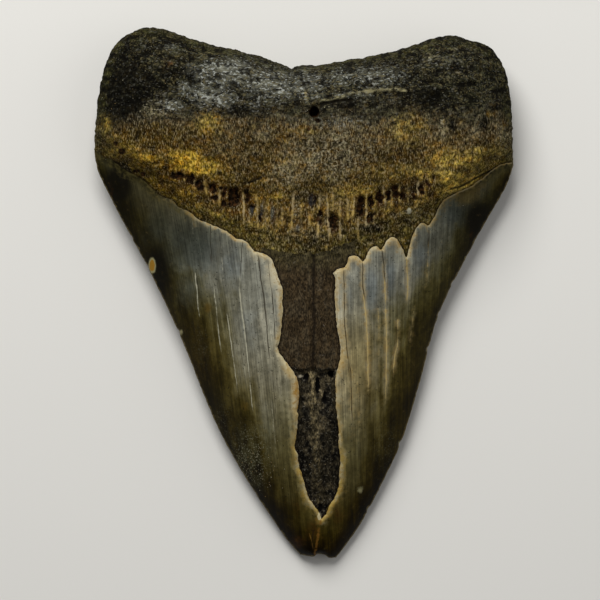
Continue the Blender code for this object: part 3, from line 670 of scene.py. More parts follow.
def swayed(line, sway, length, seed):
    """A line that wanders a little to both sides, as a natural break does."""
    offset = np.column_stack([noise_at(line, length, length, seed + side) for side in (0, 1)])
    return line + sway * offset


def wandering(at):
    """Places that wander sideways, so that what is drawn at them isn't quite straight."""
    return np.column_stack([at[:, 0] + mottle(at, "wander"), at[:, 1]])


def turned_inwards(loop):
    """Unit vectors that point from a clockwise loop's points into it."""
    along = np.roll(loop, -1, axis=0) - np.roll(loop, 1, axis=0)
    return np.column_stack([along[:, 1], -along[:, 0]]) / np.hypot(*along.T)[:, None]


def chipped_outline():
    """The closed outline, worn and chipped inwards only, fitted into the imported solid's box."""
    loop = joined_runs(OUTLINE_RUNS, OUTLINE_STEP)[:-1]
    inwards = turned_inwards(loop)
    is_root = smoothstep((loop[:, 1] - station_height(NECK_LINGUAL, loop[:, 0])) / NECK_BLEND + 0.5)
    wear = CROWN_WEAR + (ROOT_WEAR - CROWN_WEAR) * is_root
    depth = wear * np.clip(0.5 + mottle(loop, "wear") + mottle(loop, "nibbles"), 0.0, None)
    for chip in EDGE_CHIPS:
        depth = depth + CHIP_DEPTH * nearness(np.hypot(*(loop - chip).T) ** 2, CHIP_RADIUS**2)
    loop = loop + inwards * depth[:, None]
    low, high = loop.min(axis=0), loop.max(axis=0)
    cad_low, cad_high = np.array(CAD_LOW)[:2] / MM, np.array(CAD_HIGH)[:2] / MM
    room = cad_high - cad_low - 2 * BOX_CLEARANCE
    return (loop - (low + high) / 2) * np.minimum(room / (high - low), 1.0) + (cad_low + cad_high) / 2


def swayed_cracks(cracks, seed):
    """Each crack's weight and its line, sampled and wandering a little."""
    return [
        (weight, swayed(smooth_run(line, CONTOUR_STEP), CRACK_SWAY, CRACK_SWAY_LENGTH, seed + number))
        for number, (weight, line) in enumerate(cracks)
    ]


OUTLINE = chipped_outline()
OUTLINE_LOOP = np.vstack([OUTLINE, OUTLINE[:1]])
ENAMEL_MARGIN = swayed(joined_runs(ENAMEL_RUNS, CONTOUR_STEP), MARGIN_SWAY, MARGIN_SWAY_LENGTH, 3)
ROOT_SIDE = np.vstack([ENAMEL_MARGIN, AROUND_ROOT])
LINGUAL_PALE = swayed_cracks(PALE_CRACKS, 11)
LINGUAL_DARK = swayed_cracks(DARK_CRACKS, 31)
LABIAL_PALE = swayed_cracks(LABIAL_CRACKS, 51)


# Heights of the two faces, and the fields that their materials read

def across(at):
    """Place across the crown, from -1 at the left cutting edge to 1 at the right one."""
    left_y, left_x = np.array(CUTTING_EDGE_LEFT)[:, ::-1].T
    right_y, right_x = np.array(CUTTING_EDGE_RIGHT)[::-1, ::-1].T
    left = np.interp(at[:, 1], left_y, left_x)
    right = np.interp(at[:, 1], right_y, right_x)
    return np.clip((2 * at[:, 0] - left - right) / (right - left), -1.0, 1.0)


def lumps(at, sizes):
    """Rounded weathering, the same each time for the same place."""
    height = np.zeros(len(at))
    for size, rise in sizes:
        height += rise * np.array([noise.noise(Vector((x / size, y / size, size))) for x, y in at])
    return height


def hollows(at, holes, ragged):
    """How far into the nearest of some hollows each point lies, how near to one, and how deep.

    The hollows are rounded boxes whose rims wander to and fro by up to the ragged amount.
    """
    x = at[:, 0] + ragged * mottle(at, "ragged_x")
    y = at[:, 1] + ragged * mottle(at, "ragged_y")
    share, fringe, depth = np.zeros((3, len(at)))
    for hole_x, hole_y, half_across, half_along, deep in holes:
        reach = np.abs((x - hole_x) / half_across) ** SLOT_SQUARENESS
        reach += np.abs((y - hole_y) / half_along) ** SLOT_SQUARENESS
        sunk = np.clip(1 - reach, 0.0, 1.0)
        share = np.maximum(share, sunk)
        fringe = np.maximum(fringe, nearness(reach, SLOT_FRINGE))
        depth = np.maximum(depth, deep * sunk**SLOT_STEEPNESS)
    return share, fringe, depth


def ribs(at):
    """Distance to the nearest of the thin ribs between the slots, and how strong that rib is."""
    x, y = at.T
    x = x + mottle(at, "rib_sway")
    nearest = np.full(len(at), RIB_FAR)
    strength = np.zeros(len(at))
    for number, (rib_x, low, high, strong) in enumerate(RIBS):
        lean = RIB_LEAN * np.sin(RIB_LEAN_TURN * number)
        away = np.abs(x - rib_x - lean * (y - high))
        ends = np.clip(np.minimum(y - low, high - y) / RIB_TAPER + 0.5, 0.0, 1.0)
        closer = (away < nearest) & (ends > 0)
        nearest = np.where(closer, away, nearest)
        strength = np.where(closer, strong * ends, strength)
    return nearest, strength


def patch_strength(at, patches):
    """How strongly the strongest of some soft patches shows at each point."""
    x, y = at.T
    strength = np.zeros(len(at))
    for patch_x, patch_y, half_across, half_along, strong in patches:
        reach = ((x - patch_x) / half_across) ** 2 + ((y - patch_y) / half_along) ** 2
        strength = np.maximum(strength, strong * np.exp(-reach))
    return strength


def plane_fields(at, neck):
    """What the two faces share: distances to outline and neck, the growth lines and the patches."""
    x, y = at.T
    fields = {name: patch_strength(at, patches) for name, patches in PATCHES.items()}
    fields["rim_mm"] = distance_to(OUTLINE_LOOP, at)
    fields["fade"] = smoothstep(fields["rim_mm"] / LUMP_MARGIN)
    fields["neck_mm"] = y - station_height(neck, x)
    fields["growth_mm"] = (x - GROWTH_X + GROWTH_LEAN * y) / (1 + GROWTH_SPREAD * y)
    return fields


def crack_fields(cracks, at):
    """How strongly each point lies on a crack, and near one; cracks fade and break up on their way."""
    samples = []
    strengths = []
    for weight, line in cracks:
        dense = smooth_run(line, LINE_SAMPLE)
        way = np.linspace(0.0, 1.0, len(dense))
        ends = np.clip(np.minimum(way / CRACK_START, (1 - way) / CRACK_END), 0.0, 1.0)
        whole = np.clip(CRACK_WHOLENESS + mottle(dense, "crack_breaks"), CRACK_LEAST, 1.0)
        samples.append(dense)
        strengths.append(weight * (CRACK_END_STRENGTH + (1 - CRACK_END_STRENGTH) * ends) * whole)
    tree = near_points(np.vstack(samples))
    found = [tree.find((x, y, 0.0)) for x, y in at]
    away = np.array([hit[2] for hit in found])
    strong = np.clip(np.concatenate(strengths)[[hit[1] for hit in found]], 0.0, 1.0)
    return strong * nearness(away, CRACK_SIDE), strong * np.exp(-((away / CRACK_HALO) ** 2))


def crown_and_root(at, fields, middle, plateau, root_rim):
    """A face's plain form, a curved crown that passes softly into a slab of a root; and which is root."""
    edge = station_height(EDGE_HEIGHT, at[:, 1])
    blunt = quarter_round(distance_to(BROKEN_TIP, at) / TIP_ROUNDING)
    crown = edge + (middle - edge) * (1 - np.abs(across(at)) ** CROWN_FULLNESS) * blunt
    root = edge + (plateau - edge) * quarter_round(fields["rim_mm"] / root_rim)
    is_root = smoothstep((fields["neck_mm"] + NECK_START) / NECK_BLEND)
    return crown * (1 - is_root) + root * is_root, is_root


def lingual_form(at, fields, sizes):
    """The upper face's crown and root, the step down from the enamel, and weathered lumps."""
    x, y = at.T
    margin = np.where(inside(ROOT_SIDE, at), -1.0, 1.0) * distance_to(ENAMEL_MARGIN, at)
    middle = station_height(LINGUAL_MIDDLE, y)
    plateau = middle * (1 - ROOT_SIDE_DROP * (x / OUTLINE[:, 0].max()) ** 2)
    height, is_root = crown_and_root(at, fields, middle, plateau, ROOT_RIM_LINGUAL)
    near_gap = smoothstep(1 + GAP_NEAR_SHARE - np.abs(x - GAP_X) / MARGIN_CREAM_REACH)
    thickness = sizes.enamel_thickness / MM * (SHOULDER_THICKNESS + (1 - SHOULDER_THICKNESS) * near_gap)
    height -= thickness * (1 - smoothstep(margin / BROKEN_WALL)) * (1 - is_root) * fields["fade"]
    lumpy = is_root * lumps(at, ROOT_LUMPS) + (1 - is_root) * lumps(at, CROWN_LUMPS)
    fields.update(enamel_mm=margin, near_gap=near_gap, bare=np.clip(-margin / BROKEN_WALL, 0.0, 1.0))
    return height + fields["fade"] * lumpy


def gap_relief(at, fields):
    """Bare dentine: the seam down its middle, and the ragged step to its deeper, ridged lower part."""
    x, y = at.T
    margin = fields["enamel_mm"]
    ridge = soft_line(DENTINE_RIDGE, at, DENTINE_RIDGE_WIDTH)
    step_y = DENTINE_STEP_Y + mottle(at, "step") + mottle(at, "step_teeth")
    chipped = smoothstep((step_y - y) / DENTINE_STEP_RUN) * smoothstep(-margin / DENTINE_RIDGE_WIDTH)
    seam = soft_line(DENTINE_SEAM, wandering(at), DENTINE_SEAM_WIDTH)
    is_dentine = (margin < 0) & (y < station_height(DENTINE_TOP, x) + mottle(at, "dentine_top"))
    is_dentine &= np.abs(x - DENTINE_X) < DENTINE_HALF
    fields.update(chipped=chipped, ridge=ridge * chipped, seam=seam, dentine=is_dentine.astype(float))
    return -chipped * (DENTINE_DROP - DENTINE_RIDGE_RISE * ridge) - DENTINE_SEAM_DEPTH * seam


def hollow_relief(at, fields):
    """The slots, pores and holes, the foramen with the furrows that lead to it, and a raised shelf."""
    slot_share, slot_fringe, slot_depth = hollows(at, SLOTS, SLOT_RAGGED)
    pore_share, _, pore_depth = hollows(at, ROOT_PORES, PORE_RAGGED)
    hole_share, _, hole_depth = hollows(at, DENTINE_HOLES, HOLE_RAGGED)
    foramen = np.hypot(*(at - FORAMEN_CENTRE).T) / FORAMEN_RADIUS + mottle(at, "foramen_rim")
    foramen_share = smoothstep((1 - foramen) / (1 - FORAMEN_FLOOR_SHARE))
    wander = wandering(at)
    cuts = [deep * soft_line(line, wander, wide) * fields["fade"] for deep, wide, line in FURROWS]
    shelf = soft_line(SHELF, wander, SHELF_WIDTH)
    fields.update(
        hollow=np.maximum.reduce([slot_share, pore_share, hole_share, foramen_share]),
        fringe=slot_fringe,
        furrow=np.clip(np.maximum.reduce(cuts) / FURROW_FULL_DEPTH, 0.0, 1.0),
        shelf=shelf,
    )
    sunk = slot_depth + pore_depth + hole_depth + FORAMEN_DEPTH * foramen_share + sum(cuts)
    return SHELF_RISE * shelf - sunk


def neck_relief(at, fields):
    """The comb of flutes and thin ribs along the neck, and crevices between knobs of bone."""
    knobs = mottle(at, "knobs") + mottle(at, "small_knobs")
    band = 1 - smoothstep(distance_to(SLOT_BAND, at) / SLOT_BAND_CORE - 1)
    rib_away, rib_strength = ribs(at)
    rib = rib_strength * np.exp(-((rib_away / RIB_FOOT) ** 2))
    flutes = mottle(at + FLUTE_BEND * knobs[:, None], "flutes")
    groove = band * smoothstep(0.5 - flutes) * (1 - rib)
    in_zone = smoothstep((CREVICE_REACH - np.abs(fields["neck_mm"] - CREVICE_MIDDLE)) / CREVICE_BLEND)
    in_zone *= np.clip(-fields["enamel_mm"], 0.0, 1.0)
    crevice = in_zone * smoothstep(0.5 - knobs / CREVICE_KNOB)
    fields.update(
        rib_away=rib_away, rib_strength=rib_strength, band=band, groove=groove, crevice=crevice,
    )
    return -RIB_HEIGHT * band * (1 - rib) - FLUTE_DEPTH * groove - CREVICE_DEPTH * crevice


def bone_relief(at, fields, sizes):
    """The root's weathered grain: fibres and crumbs near the neck, a layered and pitted crust above."""
    x, y = at.T
    grain = sizes.bone_grain / MM
    fibres = mottle(at, "fibres", grain)
    crumbs = mottle(at, "crumbs", grain)
    below_top = station_height(ROOT_TOP, x) - y
    along_top = np.column_stack([x, below_top])
    crust = mottle(along_top, "crust", grain) + mottle(along_top, "fine_crust", grain)
    upper = smoothstep((y - CRUST_LOW) / (CRUST_HIGH - CRUST_LOW) + mottle(at, "crust_edge"))
    pits = upper * smoothstep((PIT_LEVEL - crust - PIT_CRUMBS * crumbs) / PIT_WALL)
    near_neck = GRAIN_FIBRES * fibres + GRAIN_CRUMBS * crumbs
    grainy = (1 - upper) * near_neck + upper * (crust + CRUST_CRUMBS * crumbs)
    relief = 0.5 + 0.5 * grainy
    depth = sizes.bone_relief / MM * (GRAIN_DEPTH * (1 - relief) + CRUST_PITTING * pits)
    rough = fields["bare"] * (1 + CHIPPED_ROUGHNESS * fields["chipped"])
    fields.update(top_mm=below_top, upper=upper, pits=pits, relief=relief)
    return -rough * smoothstep(fields["rim_mm"] / SMOOTH_RIM) * np.clip(depth, 0.0, None)


def enamel_relief(at, fields, sizes):
    """The enamel's growth lines and cracks, and the cream colour of what is broken."""
    x, y = at.T
    rim, margin, near_gap = fields["rim_mm"], fields["enamel_mm"], fields["near_gap"]
    growth = mottle(np.column_stack([fields["growth_mm"], y]), "growth")
    pale, pale_halo = crack_fields(LINGUAL_PALE, at)
    dark, dark_halo = crack_fields(LINGUAL_DARK, at)
    on_enamel = np.clip(margin / CRACK_SIDE, 0.0, 1.0)
    width = MARGIN_CREAM_WIDTH * (1 + mottle(at, "cream") + mottle(at, "cream_teeth"))
    halo = CRACK_HALO_CREAM * np.maximum(pale_halo, dark_halo) * smoothstep(x / CREAM_HALO_X - 1)
    cream = np.maximum.reduce([
        nearness(margin, np.clip(width, MARGIN_CREAM_LEAST, None)) * near_gap,
        fields["glow"] * nearness(margin, GLOW_REACH),
        MARGIN_LINE_CREAM * nearness(margin, MARGIN_LINE_WIDTH) * (x > MARGIN_LINE_X),
        halo * smoothstep((CREAM_HALO_TOP - y) / CREAM_HALO_FADE),
    ])
    fields.update(
        inner=rim / np.maximum(rim + np.abs(margin), LEAST_SPAN),
        shoulder=(1 - near_gap) * nearness(margin, SHOULDER_CRUST),
        cream=np.clip(cream, 0.0, 1.0),
        tip_seam=soft_line(TIP_SEAM, at, TIP_SEAM_WIDTH),
        pale_crack=pale * on_enamel,
        dark_crack=dark * on_enamel,
    )
    lines = GROWTH_DEPTH * (1 - growth) * (1 - fields["bare"]) * fields["fade"]
    return -lines - on_enamel * sizes.crack_depth / MM * np.maximum(pale, dark)


def lingual_surface(at, sizes):
    """Heights of the upper face and its fields."""
    fields = plane_fields(at, NECK_LINGUAL)
    height = lingual_form(at, fields, sizes)
    for relief in (gap_relief, hollow_relief, neck_relief):
        height += relief(at, fields)
    return height + bone_relief(at, fields, sizes) + enamel_relief(at, fields, sizes), fields


def labial_surface(at, sizes):
    """Heights of the lower face, which is nearly flat and cut off where it rests, and its fields."""
    x, y = at.T
    fields = plane_fields(at, NECK_LABIAL)
    rim = fields["rim_mm"]
    middle = station_height(LABIAL_MIDDLE, y)
    from_lobe = ((np.abs(x) - LABIAL_LOBE_X) ** 2 + (y - LABIAL_LOBE_Y) ** 2) / LABIAL_LOBE_SPAN**2
    plateau = middle - LABIAL_LOBE_DROP * np.exp(-from_lobe)
    height, _ = crown_and_root(at, fields, middle, plateau, ROOT_RIM_LABIAL)
    margin = mottle(at, "labial_margin") - fields["neck_mm"]
    height += LABIAL_ENAMEL_THICKNESS * smoothstep(-margin / BROKEN_WALL) * fields["fade"]
    grain = sizes.bone_grain / MM
    relief = 0.5 + 0.5 * (mottle(at, "labial_fibres", grain) + mottle(at, "labial_crumbs", grain))
    rough = np.clip(-margin / BROKEN_WALL, 0.0, 1.0) * smoothstep(rim / LABIAL_SMOOTH_RIM)
    height += rough * sizes.bone_relief / MM * np.clip(1 - relief, 0.0, None)
    crack = crack_fields(LABIAL_PALE, at)[0] * np.clip(margin / CRACK_SIDE, 0.0, 1.0)
    fields.update(
        enamel_mm=margin,
        inner=np.clip(rim / LABIAL_INNER_REACH, 0.0, LABIAL_INNER_MOST),
        pale_crack=crack,
        relief=relief,
        upper=smoothstep((y - CRUST_LOW) / (CRUST_HIGH - CRUST_LOW)),
        rib_away=np.full(len(at), RIB_FAR),
        top_mm=station_height(ROOT_TOP, x) - y,
    )
    return np.maximum(height + sizes.crack_depth / MM * crack, 0.0), fields


# The mesh

def rim_rings(root_offsets, crown_offsets):
    """Points at set distances inside the outline, so that both rims keep their rounding."""
    inwards = turned_inwards(OUTLINE)
    on_root = OUTLINE[:, 1] > station_height(NECK_LINGUAL, OUTLINE[:, 0])
    rings = []
    for offsets, chosen in ((root_offsets, on_root), (crown_offsets, ~on_root)):
        for offset in offsets:
            moved = (OUTLINE + offset * inwards)[chosen]
            clear = distance_to(OUTLINE_LOOP, moved) > RING_SHARE_KEPT * offset
            rings.append(moved[inside(OUTLINE, moved) & clear])
    return np.vstack(rings)


def beside(line, offset):
    """The line's points moved sideways, to its right when followed from its first point."""
    along = np.gradient(line, axis=0)
    return line + offset * np.column_stack([along[:, 1], -along[:, 0]]) / np.hypot(*along.T)[:, None]


def crack_points(cracks):
    """Each crack's own line and both its sides, so that its groove is cut cleanly."""
    return [beside(line, side) for _, line in cracks for side in (0.0, -CRACK_SIDE, CRACK_SIDE)]


def grid(spacing):
    """A triangular grid of points over the whole outline."""
    low, high = OUTLINE.min(axis=0), OUTLINE.max(axis=0)
    rows = np.arange(low[1], high[1], spacing * np.sqrt(3) / 2)
    points = np.array([
        (x, y)
        for number, y in enumerate(rows)
        for x in np.arange(low[0] + (number % 2) * spacing / 2, high[0], spacing)
    ])
    return points[inside(OUTLINE, points)]


def thinned(candidates, taken, clearance):
    """The candidates that keep their distance from the points already taken."""
    tree = near_points(taken)
    return np.array([point for point in candidates if tree.find((*point, 0.0))[2] > clearance])


def triangulate(features, margin, fillings):
    """A flat triangle mesh of the outline that holds every feature point, the outline first."""
    fixed = np.vstack([OUTLINE, margin])
    points = np.vstack([fixed, thinned(features[inside(OUTLINE, features)], fixed, LEAST_GAP)])
    for filling, spacing in fillings:
        points = np.vstack([points, thinned(filling, points, GRID_CLEARANCE * spacing)])
    count = len(OUTLINE)
    edges = [(number, (number + 1) % count) for number in range(count)]
    edges += [(count + number, count + number + 1) for number in range(len(margin) - 1)]
    made = delaunay_2d_cdt([Vector(point) for point in points], edges, [], 0, SAME_POINT)
    places = np.array([tuple(place) for place in made[0]])
    faces = np.array(made[2])
    return places, faces[inside(OUTLINE, places[faces].mean(axis=1))]


def lingual_mesh():
    """The flat mesh of the upper face: fine over bone and gap, a little coarser over enamel."""
    margin = ENAMEL_MARGIN[distance_to(OUTLINE_LOOP, ENAMEL_MARGIN) > MARGIN_CLEARANCE]
    features = [beside(margin, BROKEN_WALL), rim_rings(ROOT_RINGS, CROWN_RINGS)]
    features += crack_points(LINGUAL_PALE + LINGUAL_DARK)
    fine, coarse = grid(ROOT_GRID), grid(CROWN_GRID)
    fillings = [
        (fine[inside(ROOT_SIDE, fine)], ROOT_GRID), (coarse[~inside(ROOT_SIDE, coarse)], CROWN_GRID),
    ]
    return triangulate(np.vstack(features), margin, fillings)


def labial_mesh():
    """The flat mesh of the lower face, which is plainer and so coarser."""
    features = [rim_rings(LABIAL_RINGS, CROWN_RINGS), *crack_points(LABIAL_PALE)]
    return triangulate(np.vstack(features), np.zeros((0, 2)), [(grid(LABIAL_GRID), LABIAL_GRID)])


def tooth_mesh(sizes):
    """The two faces lifted to their heights, joined along the outline, with all their fields."""
    upper, upper_faces = lingual_mesh()
    lower, lower_faces = labial_mesh()
    count = len(OUTLINE)
    upper_z, fields = lingual_surface(upper, sizes)
    lower_z, lower_fields = labial_surface(lower[count:], sizes)
    upper_z[:count] = station_height(EDGE_HEIGHT, upper[:count, 1])
    top = np.column_stack([upper, np.minimum(upper_z, CAD_HIGH.z / MM - BOX_CLEARANCE)])
    bottom = np.column_stack([lower[count:], lower_z])
    shifted = np.where(lower_faces < count, lower_faces, lower_faces + len(upper) - count)
    points = np.vstack([top, bottom])
    faces = np.vstack([upper_faces, shifted[:, ::-1]])
    mesh = bpy.data.meshes.new("tooth_body")
    mesh.vertices.add(len(points))
    mesh.vertices.foreach_set("co", (points * MM).astype(np.float32).ravel())
    mesh.loops.add(faces.size)
    mesh.loops.foreach_set("vertex_index", faces.astype(np.int32).ravel())
    mesh.polygons.add(len(faces))
    mesh.polygons.foreach_set("loop_start", np.arange(0, faces.size, 3, dtype=np.int32))
    mesh.update(calc_edges=True)
    mesh.validate()
    for name in fields:
        below = lower_fields.get(name, np.zeros(len(bottom)))
        fields[name] = np.concatenate([fields[name], below]).astype(np.float32)
        mesh.attributes.new(name, "FLOAT", "POINT").data.foreach_set("value", fields[name])
    enamel = fields["enamel_mm"][faces].mean(axis=1) > 0
    dentine = fields["dentine"][faces].mean(axis=1) > 0.5
    on_root_side = np.where(dentine, DENTINE_SLOT, BONE_SLOT)
    mesh.polygons.foreach_set("material_index", np.where(enamel, ENAMEL_SLOT, on_root_side))
    mesh.shade_smooth()
    return mesh


# Materials

MIX_FACTOR, MIX_A, MIX_B, MIX_RESULT = 0, 6, 7, 2
EVEN = (1.0, 1.0, 1.0)
NOISE_ROUGHNESS = 0.6


def add_node(tree, kind, inputs=None, **settings):
    """Adds a node with its settings. An input given a socket is linked, and any other is set."""
    node = tree.nodes.new(kind)
    for name, value in settings.items():
        setattr(node, name, value)
    for name, value in (inputs or {}).items():
        if isinstance(value, bpy.types.NodeSocket):
            tree.links.new(value, node.inputs[name])
        else:
            node.inputs[name].default_value = value
    return node


class Surface:
    """A material whose colour is built up coat by coat.

    A value is a socket, the name of one of its noises or of a field of the mesh, or a tuple of a value
    and noises with amounts, which tear its soft border as stains are torn on a porous surface. A colour
    is hex, linear numbers or a socket.
    """

    def __init__(self, name, roughness, ior, specular):
        self.material = bpy.data.materials.new(name)
        self.material.use_nodes = True
        self.tree = self.material.node_tree
        self.shader = self.tree.nodes["Principled BSDF"]
        self.shader.inputs["Roughness"].default_value = roughness
        self.shader.inputs["IOR"].default_value = ior
        self.shader.inputs["Specular IOR Level"].default_value = specular
        self.object_place = add_node(self.tree, "ShaderNodeTexCoord").outputs["Object"]
        apart = add_node(self.tree, "ShaderNodeSeparateXYZ", {"Vector": self.object_place})
        self.values = {
            f"{axis.lower()}_mm": self.added(
                "ShaderNodeMath", {0: apart.outputs[axis], 1: 1.0 / MM}, operation="MULTIPLY"
            )
            for axis in "XY"
        }
        self.colour = None

    def added(self, kind, inputs, output=0, **settings):
        """An output of a new node, whose inputs are values."""
        read = {name: self.read(value) for name, value in inputs.items()}
        return add_node(self.tree, kind, read, **settings).outputs[output]

    def read(self, value):
        """The socket of a value, or a hex colour turned to linear. Anything else is handed back."""
        if isinstance(value, tuple) and isinstance(value[0], (str, bpy.types.NodeSocket)):
            mask, *tears = value
            for tear, amount in zip(tears[::2], tears[1::2]):
                shifted = self.added("ShaderNodeMath", {0: tear, 1: 0.5}, operation="SUBTRACT")
                mask = self.added(
                    "ShaderNodeMath", {0: shifted, 1: amount, 2: mask}, operation="MULTIPLY_ADD"
                )
            return mask
        if not isinstance(value, str):
            return value
        if value.startswith("#"):
            return linear(value)
        if value not in self.values:
            self.values[value] = add_node(
                self.tree, "ShaderNodeAttribute", attribute_name=value
            ).outputs["Fac"]
        return self.values[value]

    def noise(self, name, size_mm, stretch=EVEN, detail=2.0, vector=None, shift=0.0):
        """Noise whose patches have a real size, drawn out along an axis where stretch is over 1.

        A shift reads another part of the noise, so that two noises of a like size don't match.
        """
        unit = MM if vector is None else 1.0
        placed = self.added(
            "ShaderNodeMapping",
            {
                "Vector": vector or self.object_place, "Location": (shift, shift, 0.0),
                "Scale": [1.0 / (size_mm * unit * longer) for longer in stretch],
            },
        )
        self.values[name] = self.added(
            "ShaderNodeTexNoise",
            {"Vector": placed, "Scale": 1.0, "Detail": detail, "Roughness": NOISE_ROUGHNESS},
        )

    def ranged(self, value, low, high, to_low=0.0, to_high=1.0):
        """A value turned from one range to another, kept inside it, with soft ends."""
        return self.added(
            "ShaderNodeMapRange",
            {"Value": value, "From Min": low, "From Max": high, "To Min": to_low, "To Max": to_high},
            interpolation_type="SMOOTHSTEP",
        )

    def within(self, first, second):
        """Two masks multiplied, so that one shows only inside the other."""
        return self.added("ShaderNodeMath", {0: first, 1: second}, operation="MULTIPLY")

    def mixed(self, under, over, mask, low=0.0, high=1.0, most=1.0):
        """One colour over another where a mask rises from low to high."""
        amount = self.ranged(mask, low, high, 0.0, most)
        return self.added(
            "ShaderNodeMix", {MIX_FACTOR: amount, MIX_A: under, MIX_B: over}, MIX_RESULT,
            data_type="RGBA",
        )

    def stops(self, value, stops):
        """A colour read along a row of (place, colour) stops."""
        low, high = stops[0][0], stops[-1][0]
        share = self.added("ShaderNodeMapRange", {"Value": value, "From Min": low, "From Max": high})
        node = add_node(self.tree, "ShaderNodeValToRGB", {"Fac": share})
        row = node.color_ramp.elements
        row.remove(row[1])
        for place, shade in stops:
            stop = row[0] if place == low else row.new((place - low) / (high - low))
            stop.color = self.read(shade)
        return node.outputs["Color"]

    def shaded(self, colour, value, low, high, darkest, brightest):
        """A colour made darker and brighter by a value, as fine grain does."""
        start = linear(colour)[:3] if isinstance(colour, str) else colour
        factor = self.ranged(value, low, high, darkest, brightest)
        return self.added("ShaderNodeVectorMath", {0: start, "Scale": factor}, operation="SCALE")

    def coat(self, over, mask, low=0.0, high=1.0, most=1.0):
        """Lays a colour over the surface where a mask rises from low to high."""
        self.colour = self.mixed(self.colour, over, mask, low, high, most)

    def coats(self, rows):
        for row in rows:
            self.coat(*row)

    def shades(self, rows):
        """Makes the surface darker and brighter by each of some values."""
        for row in rows:
            self.colour = self.shaded(self.colour, *row)

    def specks(self, rows):
        """Sprinkles colours where a noise is in its range and a mask lets them show."""
        for shade, speck, low, high, where, most in rows:
            self.coat(shade, self.within(self.ranged(speck, low, high), where), most=most)

    def stain(self, colour):
        """Lays a clear stain over the surface, which is seen through it."""
        self.colour = self.added(
            "ShaderNodeMix", {MIX_FACTOR: 1.0, MIX_A: self.colour, MIX_B: colour}, MIX_RESULT,
            data_type="RGBA", blend_type="MULTIPLY",
        )

    def finished(self, reliefs=()):
        """The material with its colour and its fine reliefs, as (value, strength, depth in mm)."""
        self.tree.links.new(self.colour, self.shader.inputs["Base Color"])
        normal = {}
        for value, strength, depth_mm in reliefs:
            bump = self.added(
                "ShaderNodeBump",
                {"Height": value, "Strength": strength, "Distance": depth_mm * MM, **normal},
            )
            normal = {"Normal": bump}
            self.tree.links.new(bump, self.shader.inputs["Normal"])
        return self.material


def bone_stains_and_shade(bone, colours):
    """The root's colour by height, its iron, manganese and soil stains, and painted shade at rim, crevices
    and flutes.
    """
    bone.colour = bone.stops(("y_mm", "patches", 18.0, "blotches", 12.0), [
        (8.0, "#4d4424"), (14.0, "#524524"), (20.0, "#554622"), (28.0, "#514220"),
        (34.0, "#524428"), (39.0, "#4a412f"), (43.0, "#322f25"), (47.0, "#222118"),
        (56.0, "#222118"), (62.0, "#242315"),
    ])
    bone.coat("#5c5645", "dun_stain", 0.2, 1.0, 0.8)
    bone.specks([
        ("#5e523a", "hues", 0.52, 0.68, "lower", 0.6),
        ("#685220", "hues", 0.48, 0.32, "lower", 0.5),
    ])
    bone.coats([
        ("#645828", ("enamel_mm", "blotches", 5.0), -7.0, -2.5, 0.6),
        (colours.root_ochre, ("ochre", "blotches", 0.7), 0.1, 1.1),
        (colours.root_black, ("black", "blotches", 1.2), 0.15, 0.65, 0.96),
        (colours.rust, ("rust", "blotches", 0.8), 0.2, 0.9, 0.9),
        ("#3e3214", ("umber", "blotches", 0.8), 0.1, 1.0, 0.75),
        # Painted shade: olive dark within a few millimetres of the outline, where the rounded rim turns
        # away.
        ("#2b2a16", (bone.ranged("rim_mm", 4.0, 0.5), "blotches", 1.2), 0.2, 1.0, 0.7),
        ("#6c5628", ("band", "blotches", 0.8), 0.2, 1.0, 0.6),
        ("#50555a", "cool_stain", 0.35, 1.0, 0.75),
        # Darker in the crevices between knobs: partly soil, partly painted shade.
        ("#1c150a", ("crevice", "crumbs", 0.9), 0.45, 1.05, 0.5),
        ("#2a1a0b", ("fringe", "crumbs", 1.4), 0.3, 1.1, 0.65),
        # Darker in the flutes of the comb: partly soil, partly painted shade.
        ("#2b1b0c", ("groove", "crumbs", 0.9), 0.4, 1.05, 0.7),
    ])
    bone.stain(bone.mixed("#ffffff", "#fff2ae", bone.within("warm", "lower")))
    bone.stain(bone.stops("tints", [
        (0.32, "#f4e0a4"), (0.42, "#fff0cf"), (0.49, "#ffffff"), (0.56, "#f4f6d6"), (0.64, "#e8e8ea"),
    ]))


def bone_grains(bone, colours):
    """Fibres and crumbs, layered and pale with film higher up, with salt and pepper specks."""
    bone.shades([
        ("fibres", 0.36, 0.62, 0.35, 1.5), ("crumbs", 0.34, 0.66, 0.5, 1.5),
        ("blotches", 0.34, 0.66, 0.78, 1.25), ("patches", 0.36, 0.64, 0.72, 1.3),
        # The relief row darkens the sunk grain and lightens the raised: partly dirt, partly painted shade
        # and light.
        ("relief", 0.15, 0.8, 0.5, 1.35),
    ])
    bone.specks([
        ("#a5987a", "fibres", 0.53, 0.68, "lower", 0.42),
        ("#aba080", "salt", 0.53, 0.66, bone.ranged("dun_stain", 0.1, 0.9), 0.55),
    ])
    # Pale strip along the raised shelf: partly paler bone, partly a painted highlight.
    bone.coat("#7e7757", ("shelf", "crumbs", 1.6, "hues", 1.6), 0.2, 1.1, 0.8)
    bone.coat(colours.root_grey, ("pale", "blotches", 0.8, "crumbs", 0.8), 0.2, 1.2, 0.6)
    along_top = bone.added("ShaderNodeCombineXYZ", {"X": "x_mm", "Y": "top_mm"})
    bone.noise("strata", 0.9, (4.0, 1.0, 1.0), 3.0, along_top)
    bone.coat(bone.shaded(bone.colour, "strata", 0.34, 0.66, 0.45, 1.5), "upper")
    clear_of_soot = bone.within("upper", bone.ranged("black", 1.0, 0.2, 0.55, 1.0))
    far_from_soot = bone.within("upper", bone.ranged("black", 0.9, 0.2, 0.25, 1.0))
    bone.specks([
        ("#9fa199", "salt", 0.52, 0.65, bone.ranged("pale", 0.1, 0.9, 0.1, 1.0), 0.85),
        ("#6e6c61", "salt", 0.55, 0.68, clear_of_soot, 0.36),
        ("#0b0a07", "pepper", 0.51, 0.64, bone.ranged("upper", 0.0, 1.0, 0.35, 1.0), 0.9),
        ("#665e42", "salt", 0.45, 0.34, far_from_soot, 0.55),
    ])


